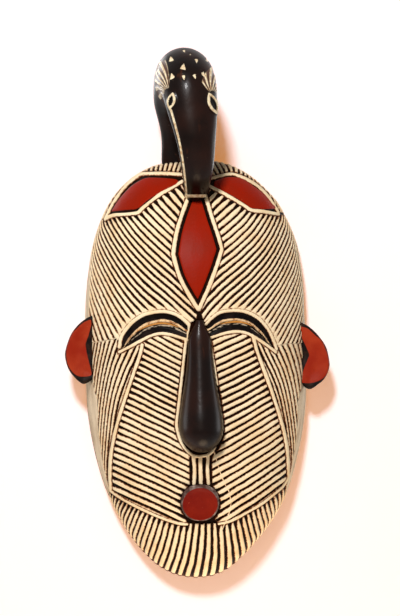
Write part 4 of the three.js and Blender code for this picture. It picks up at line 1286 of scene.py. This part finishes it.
class Shader(Nodes):
    """A node material on the object's own places.

    Where a method takes a noise, that is its scale, detail, stretch and roughness."""

    def __init__(self, name):
        self.material = bpy.data.materials.new(name)
        self.material.use_nodes = True
        super().__init__(self.material.node_tree)
        self.surface = self.tree.nodes["Principled BSDF"]
        self.place = self.node("TexCoord").outputs["Object"]

    def field(self, name):
        return self.node("Attribute", attribute_name=name).outputs["Fac"]

    def noise(self, scale, detail=2, stretch=(1, 1, 1), rough=0.5):
        place = self.node("Mapping", {"Scale": stretch, "Vector": self.place}).outputs[0]
        inputs = {"Vector": place, "Scale": scale, "Detail": detail, "Roughness": rough}
        return self.node("TexNoise", inputs).outputs["Fac"]

    def wander(self, noise, reach):
        """Noise that wanders to either side of nought."""
        return self.times(self.math("SUBTRACT", self.noise(*noise), 0.5), reach)

    def step(self, value, low, high, to_low=0, to_high=1):
        inputs = {"From Min": low, "From Max": high, "To Min": to_low, "To Max": to_high}
        inputs["Value"] = value
        return self.node("MapRange", inputs, interpolation_type="SMOOTHSTEP").outputs[0]

    def mix(self, share, a, b):
        return self.node("Mix", {0: share, 6: a, 7: b}, data_type="RGBA").outputs[2]

    def drawn(self, name, fray, *steps):
        """Where a field is high, with a frayed edge."""
        return self.step(self.plus(self.field(name), fray), *steps)

    def spots(self, noise, low, high, strength=1):
        """Spots where a noise is high."""
        share = self.step(self.noise(*noise), low, high)
        return share if strength == 1 else self.times(share, strength)

    def mottled(self, colour, other, noise, low, high, strength=1):
        """A colour with spots of another."""
        return self.mix(self.spots(noise, low, high, strength), colour, other)

    def bump(self, height, reach, strength):
        made = self.node("Bump", {"Strength": strength, "Distance": reach, "Height": height})
        self.put(self.surface.inputs["Normal"], made.outputs[0])

    def finish(self, **sockets):
        for key, value in sockets.items():
            self.put(self.surface.inputs[key.replace("_", " ")], value)
        return self.material


def rgb(red, green, blue):
    """A colour given in 0 to 255 as seen on a screen."""
    shares = [c / 255 for c in (red, green, blue)]
    linear = [c / 12.92 if c <= 10 / 255 else ((c + 0.055) / 1.055) ** 2.4 for c in shares]
    return (*linear, 1)


CREAM, DULL_CREAM, STAIN = rgb(252, 230, 192), rgb(244, 212, 166), rgb(150, 96, 52)
BIRD_CREAM, DULL_BIRD_CREAM = rgb(240, 222, 186), rgb(196, 160, 118)
GROOVE, WARM_GROOVE, FRINGE = rgb(16, 7, 3), rgb(32, 9, 2), rgb(140, 74, 34)
RED, DULL_RED, RED_SCRATCH = rgb(148, 27, 5), rgb(140, 30, 10), rgb(196, 92, 54)
# The last of the eye colours is partly rubbed paint and partly a painted highlight on the crest of the
# lower lid
EYE_TAN, EYE_BROWN, EYE_RUB_AND_HIGHLIGHT = rgb(244, 204, 154), rgb(158, 96, 54), rgb(214, 190, 160)
EYE_BLACK, EYE_GREY = rgb(14, 9, 8), rgb(34, 25, 22)
PLAIN, DULL_PLAIN, PLAIN_STAIN = rgb(238, 214, 182), rgb(196, 166, 134), rgb(112, 80, 56)
RIM = rgb(66, 38, 26)
MATT, GLOSSY = 0.03, 0.07  # specular levels at which black and red paint look as dark as they are


def carved_colour(s, prefix=""):
    """Colour of the carved face from its fields, and the share of it that is smooth thick paint."""

    def at(name):
        return s.field(prefix + name)

    wave = s.plus(s.math("COSINE", s.times(at("phase"), TURN)), at("duty"))
    ridge = s.times(wave, s.times(at("pitch"), WAVE_TO_EDGE))
    ends = s.times(s.math("SUBTRACT", at("border"), BARE), ENDS_TO_EDGE)
    fray = s.wander((420, 3), 1.1)
    edge = s.plus(s.math("MAXIMUM", s.math("MINIMUM", ridge, ends), at("ridge")), fray)
    cream = s.mottled(CREAM, DULL_CREAM, (60, 4), 0.35, 0.75)
    cream = s.mottled(cream, STAIN, (900, 2), 0.68, 0.78, 0.35)
    groove = s.mottled(GROOVE, WARM_GROOVE, (150, 3), 0.4, 0.7)
    fringe = s.mix(s.step(edge, -0.35, 0.1), groove, FRINGE)
    colour = s.mix(s.step(edge, -0.1, 0.42), fringe, cream)
    red = s.mottled(RED, DULL_RED, (45, 4), 0.35, 0.7)
    red = s.mottled(red, RED_SCRATCH, (260, 3), 0.7, 0.8, 0.6)
    red_share = s.drawn(prefix + "red", s.times(fray, 0.6), -0.25, 0.35)
    colour = s.mix(red_share, colour, red)
    tan = s.mottled(EYE_TAN, EYE_BROWN, (300, 3), 0.45, 0.7)
    black = s.mottled(EYE_BLACK, EYE_GREY, (120, 3), 0.4, 0.7)
    lid = s.plus(at("lid"), s.wander((160, 3), 0.14))
    upper = s.times(s.step(lid, 0.31, 0.35), s.step(lid, 0.45, 0.49, 1, 0))
    # Broken pale marks along the crest of the lower lid, just below the slit: partly rubbed paint,
    # partly a painted highlight
    crest = s.times(s.step(lid, 0.57, 0.6), s.step(lid, 0.64, 0.7, 1, 0))
    rub_and_highlight = s.times(s.times(s.spots((200, 3, (1, 1, 3)), 0.42, 0.56), crest), 0.8)
    eye = s.mix(rub_and_highlight, s.mix(upper, black, tan), EYE_RUB_AND_HIGHLIGHT)
    eye_share = s.drawn(prefix + "eye", s.times(fray, 0.4), -0.25, 0.3)
    colour = s.mix(eye_share, colour, eye)
    plain = s.mottled(PLAIN, DULL_PLAIN, (90, 5, (1, 1, 0.25)), 0.35, 0.7)
    plain = s.mottled(plain, PLAIN_STAIN, (520, 3), 0.6, 0.72, 0.45)
    colour = s.mix(s.drawn(prefix + "plain", fray, -0.4, 0.8), colour, plain)
    colour = s.mix(s.drawn(prefix + "rim", fray, -0.2, 0.4), colour, RIM)
    return colour, s.math("MAXIMUM", red_share, eye_share)


def face_paint():
    s = Shader("face_paint")
    colour, smooth_share = carved_colour(s)
    rough = s.math("SUBTRACT", 0.62, s.times(smooth_share, 0.26))
    s.bump(s.plus(s.noise(700, 3), s.times(s.noise(160, 2), 0.6)), 0.0002, 0.6)
    return s.finish(Base_Color=colour, Roughness=rough, Specular_IOR_Level=MATT)


def bare_wood():
    s = Shader("bare_wood")
    grain = s.noise(60, 6, (6, 6, 0.5), 0.6)
    colour = s.mix(s.step(grain, 0.3, 0.7), rgb(150, 104, 62), rgb(186, 140, 90))
    colour = s.mottled(colour, rgb(104, 68, 40), (25, 4), 0.45, 0.75, 0.5)
    s.bump(grain, 0.0004, 0.5)
    return s.finish(Base_Color=colour, Roughness=0.78)


def black_gloss(name):
    """Thick black paint over dark wood: glossy, a little uneven, rubbed brown here and there."""
    s = Shader(name)
    colour = s.mottled(rgb(14, 5, 3), rgb(34, 14, 7), (30, 4), 0.35, 0.7)
    colour = s.mottled(colour, rgb(92, 46, 22), (110, 4, (1, 1, 0.35)), 0.62, 0.74, 0.35)
    colour = s.mottled(colour, rgb(150, 130, 110), (430, 2), 0.74, 0.8, 0.5)
    s.bump(s.plus(s.noise(90, 3), s.times(s.noise(420, 2), 0.25)), 0.0004, 0.5)
    return s, colour, s.plus(0.2, s.times(s.noise(80, 4), 0.22))


def nose_paint():
    s, colour, rough = black_gloss("nose_paint")
    return s.finish(Base_Color=colour, Roughness=rough, Specular_IOR_Level=GLOSSY, Coat_Weight=0.03)


def bird_paint():
    s, colour, rough = black_gloss("bird_paint")
    cream = s.mottled(BIRD_CREAM, DULL_BIRD_CREAM, (300, 3), 0.4, 0.7)
    fray = s.wander((500, 3), 0.9)
    slight = s.times(fray, 0.5)
    wave = s.math("COSINE", s.times(s.field("fan_phase"), TURN))
    brown = s.mix(s.noise(200, 3), rgb(60, 36, 28), rgb(104, 74, 60))
    feather = s.mix(s.step(s.plus(wave, fray), 0.0, 0.45), brown, cream)
    colour = s.mix(s.drawn("fan", fray, -0.2, 1.2), colour, feather)
    colour = s.mix(s.drawn("eye", slight, -0.25, 0.25), colour, cream)
    colour = s.mix(s.step(s.field("pupil"), -0.3, 0.2), colour, rgb(12, 8, 7))
    for key in ("chip", "tip"):
        colour = s.mix(s.drawn(key, slight, -0.15, 0.25), colour, cream)
    colour = s.mix(s.drawn("gape", slight, 0.7, 1.2, 1, 0), colour, cream)
    flush = s.step(s.field("off_face"), 0.05, 0.2, 1, 0)
    colour = s.mix(flush, colour, carved_colour(s, "face_")[0])
    rough = s.plus(rough, s.times(flush, 0.3))
    return s.finish(Base_Color=colour, Roughness=rough, Specular_IOR_Level=GLOSSY, Coat_Weight=0.03)


def red_paint(name, tones, edges, field, fray, *red_where):
    """Brick red paint with brown edges, on a piece whose field says where the red is."""
    s = Shader(name)
    tone = s.mottled(*tones, (45, 4), 0.35, 0.7)
    tone = s.mottled(tone, rgb(200, 104, 66), (260, 3), 0.7, 0.8, 0.5)
    edge = s.mottled(*edges, (140, 3), 0.4, 0.7)
    share = s.drawn(field, s.wander((420, 3), fray), *red_where)
    s.bump(s.plus(s.noise(120, 3), s.times(s.noise(600, 2), 0.4)), 0.0004, 0.5)
    rough = s.plus(0.36, s.times(s.noise(90, 3), 0.2))
    return s.finish(Base_Color=s.mix(share, edge, tone), Roughness=rough, Specular_IOR_Level=GLOSSY)


def steel():
    s = Shader("hanger_steel")
    rust = s.spots((220, 4), 0.5, 0.7)
    colour = s.mix(s.times(rust, 0.5), rgb(176, 174, 168), rgb(128, 96, 70))
    s.bump(s.noise(900, 3), 0.0001, 0.4)
    return s.finish(Base_Color=colour, Roughness=s.plus(0.32, s.times(rust, 0.3)), Metallic=0.9)


def peg_wood():
    s = Shader("peg_wood")
    grain = s.noise(120, 5, (5, 5, 0.4), 0.6)
    s.bump(grain, 0.0002, 0.4)
    return s.finish(Base_Color=s.mix(grain, rgb(196, 158, 108), rgb(150, 110, 68)), Roughness=0.7)


def fixed(obj, material, slot, *nodes):
    obj.data.materials.clear()
    obj.data.materials.append(material)
    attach(obj, "root")
    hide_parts(*nodes)


wood = bare_wood()
fixed(face, face_paint(), "striped_face", "face_shell")
face.data.materials.append(wood)
face.data.polygons.foreach_set("material_index", cut_bare)
face.data.update()
fixed(nose, nose_paint(), "black_gloss", "nose")
fixed(bird, bird_paint(), "black_gloss", "bird_crest")
ear_tones, ear_edges = (rgb(144, 34, 14), rgb(164, 54, 26)), (rgb(14, 8, 6), rgb(48, 28, 18))
ear_material = red_paint("ear_paint", ear_tones, ear_edges, "red", 0.6, -0.2, 0.4)
for ear, node in zip(ears, ("ear_left", "ear_right")):
    fixed(ear, ear_material, "red_paint", node)
mouth_tones, mouth_edges = (rgb(112, 14, 4), rgb(130, 27, 9)), (rgb(74, 50, 44), rgb(166, 146, 136))
mouth_material = red_paint("mouth_paint", mouth_tones, mouth_edges, "rim", 0.5, 14.5, 14.9, 1, 0)
fixed(mouth, mouth_material, "red_paint", "mouth_plug")

# Pieces that show as the solid part has them
carried = {
    steel(): ("hanger_strip", "hanger_nail_left", "hanger_nail_right"),
    peg_wood(): ("neck_dowel", "bill_peg", "nose_peg_upper", "nose_peg_lower"),
}
for material, names in carried.items():
    for name in names:
        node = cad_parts[name]
        node.data.materials.clear()
        node.data.materials.append(material)

# Camera
camera = bpy.data.cameras.new("camera")
camera.sensor_width = SENSOR
camera.lens = FOCAL / FRAME_HEIGHT * SENSOR
viewer = bpy.data.objects.new("camera", camera)
bpy.context.scene.collection.objects.link(viewer)
viewer.location = metres([CAMERA_X, CAMERA_DEPTH, CAMERA_Z])
viewer.rotation_euler = (math.pi / 2, 0, -CAMERA_TURN)
bpy.context.scene.camera = viewer

# Stage and light, in metres
LIT_PLACE = Vector((0, -0.03, -0.12))
FLOOR_Z, FLOOR_REACH, FLOOR_GLOW = -1, 4, 0.6
WALL_Y, WALL_HALF, WALL_TOP = 0.002, 0.8, 0.8
WALL_COLOUR, WALL_WARMTH, WALL_GLOW = (0.8, 0.83, 0.95, 1), (1, 0.33, 0.0, 1), 0.45
WORLD_LIGHT = 0.11


def lamp(name, place, size, power, colour=(1, 1, 1)):
    light = bpy.data.lights.new(name, "AREA")
    light.shape, light.size, light.energy, light.color = "DISK", size, power, colour
    made = bpy.data.objects.new(name, light)
    bpy.context.scene.collection.objects.link(made)
    made.location = place
    made.rotation_euler = (LIT_PLACE - Vector(place)).to_track_quat("-Z", "Y").to_euler()


lamp("key", (-0.3, -1.6, 0.95), 0.26, 35)
lamp("front", (-0.3, -2.2, 0.3), 1.0, 2.5, (1, 0.8, 0.6))
lamp("left", (-1.5, 0.45, 0.0), 0.8, 6)
lamp("right", (1.5, 0.45, -0.1), 0.8, 5)
lamp("bounce", (0.05, -0.1, -0.8), 0.35, 2.5, (1, 0.72, 0.45))
lamp("back_left", (-0.8, 1.3, 0.5), 0.9, 7)
lamp("back_right", (0.9, 1.1, 0.1), 0.9, 6)


def seen_rays(s):
    """1 for rays from the camera, off a glossy piece or through glass; 0 for light on the object."""
    path = s.node("LightPath")
    glossy = s.math("MAXIMUM", path.outputs["Is Camera Ray"], path.outputs["Is Glossy Ray"])
    return s.math("MAXIMUM", glossy, path.outputs["Is Transmission Ray"])


def wall_paint():
    """A warm pale board that only the camera sees, and only from the front."""
    s = Shader("wall")
    s.tree.nodes.remove(s.surface)
    diffuse = s.node("BsdfDiffuse", {"Color": WALL_COLOUR}).outputs[0]
    glow = s.node("Emission", {"Color": WALL_WARMTH, "Strength": WALL_GLOW}).outputs[0]
    lit = s.node("AddShader", {0: diffuse, 1: glow}).outputs[0]
    clear = s.node("BsdfTransparent").outputs[0]
    front = s.math("SUBTRACT", 1, s.node("NewGeometry").outputs["Backfacing"])
    front = s.times(s.node("LightPath").outputs["Is Camera Ray"], front)
    mixed = s.node("MixShader", {0: front, 1: clear, 2: lit}).outputs[0]
    s.put(s.tree.nodes["Material Output"].inputs[0], mixed)
    return s.material


def floor_paint():
    s = Shader("floor")
    glow = s.times(seen_rays(s), FLOOR_GLOW)
    colours = {"Base_Color": (0.8, 0.79, 0.77, 1), "Emission_Color": (1, 1, 1, 1)}
    return s.finish(Roughness=0.8, Emission_Strength=glow, **colours)


corners = [(-WALL_HALF, FLOOR_Z), (WALL_HALF, FLOOR_Z), (WALL_HALF, WALL_TOP), (-WALL_HALF, WALL_TOP)]
board = mesh_object("wall", [(x, WALL_Y, z) for x, z in corners], [(0, 1, 2, 3)])
board.data.materials.append(wall_paint())

corners = [(-1, -1), (1, -1), (1, 1), (-1, 1)]
floor_points = [(FLOOR_REACH * x, FLOOR_REACH * y, FLOOR_Z) for x, y in corners]
floor = mesh_object("floor", floor_points, [(0, 1, 2, 3)])
floor.data.materials.append(floor_paint())

world = bpy.data.worlds.new("world")
bpy.context.scene.world = world
world.use_nodes = True
sky = Nodes(world.node_tree)
levels = {"To Min": WORLD_LIGHT, "To Max": 1.0, "Value": seen_rays(sky)}
surround = world.node_tree.nodes["Background"]
sky.put(surround.inputs["Strength"], sky.node("MapRange", levels).outputs[0])
surround.inputs["Color"].default_value = (1, 1, 1, 1)

bpy.context.scene.view_settings.view_transform = "Standard"

bpy.context.view_layer.update()
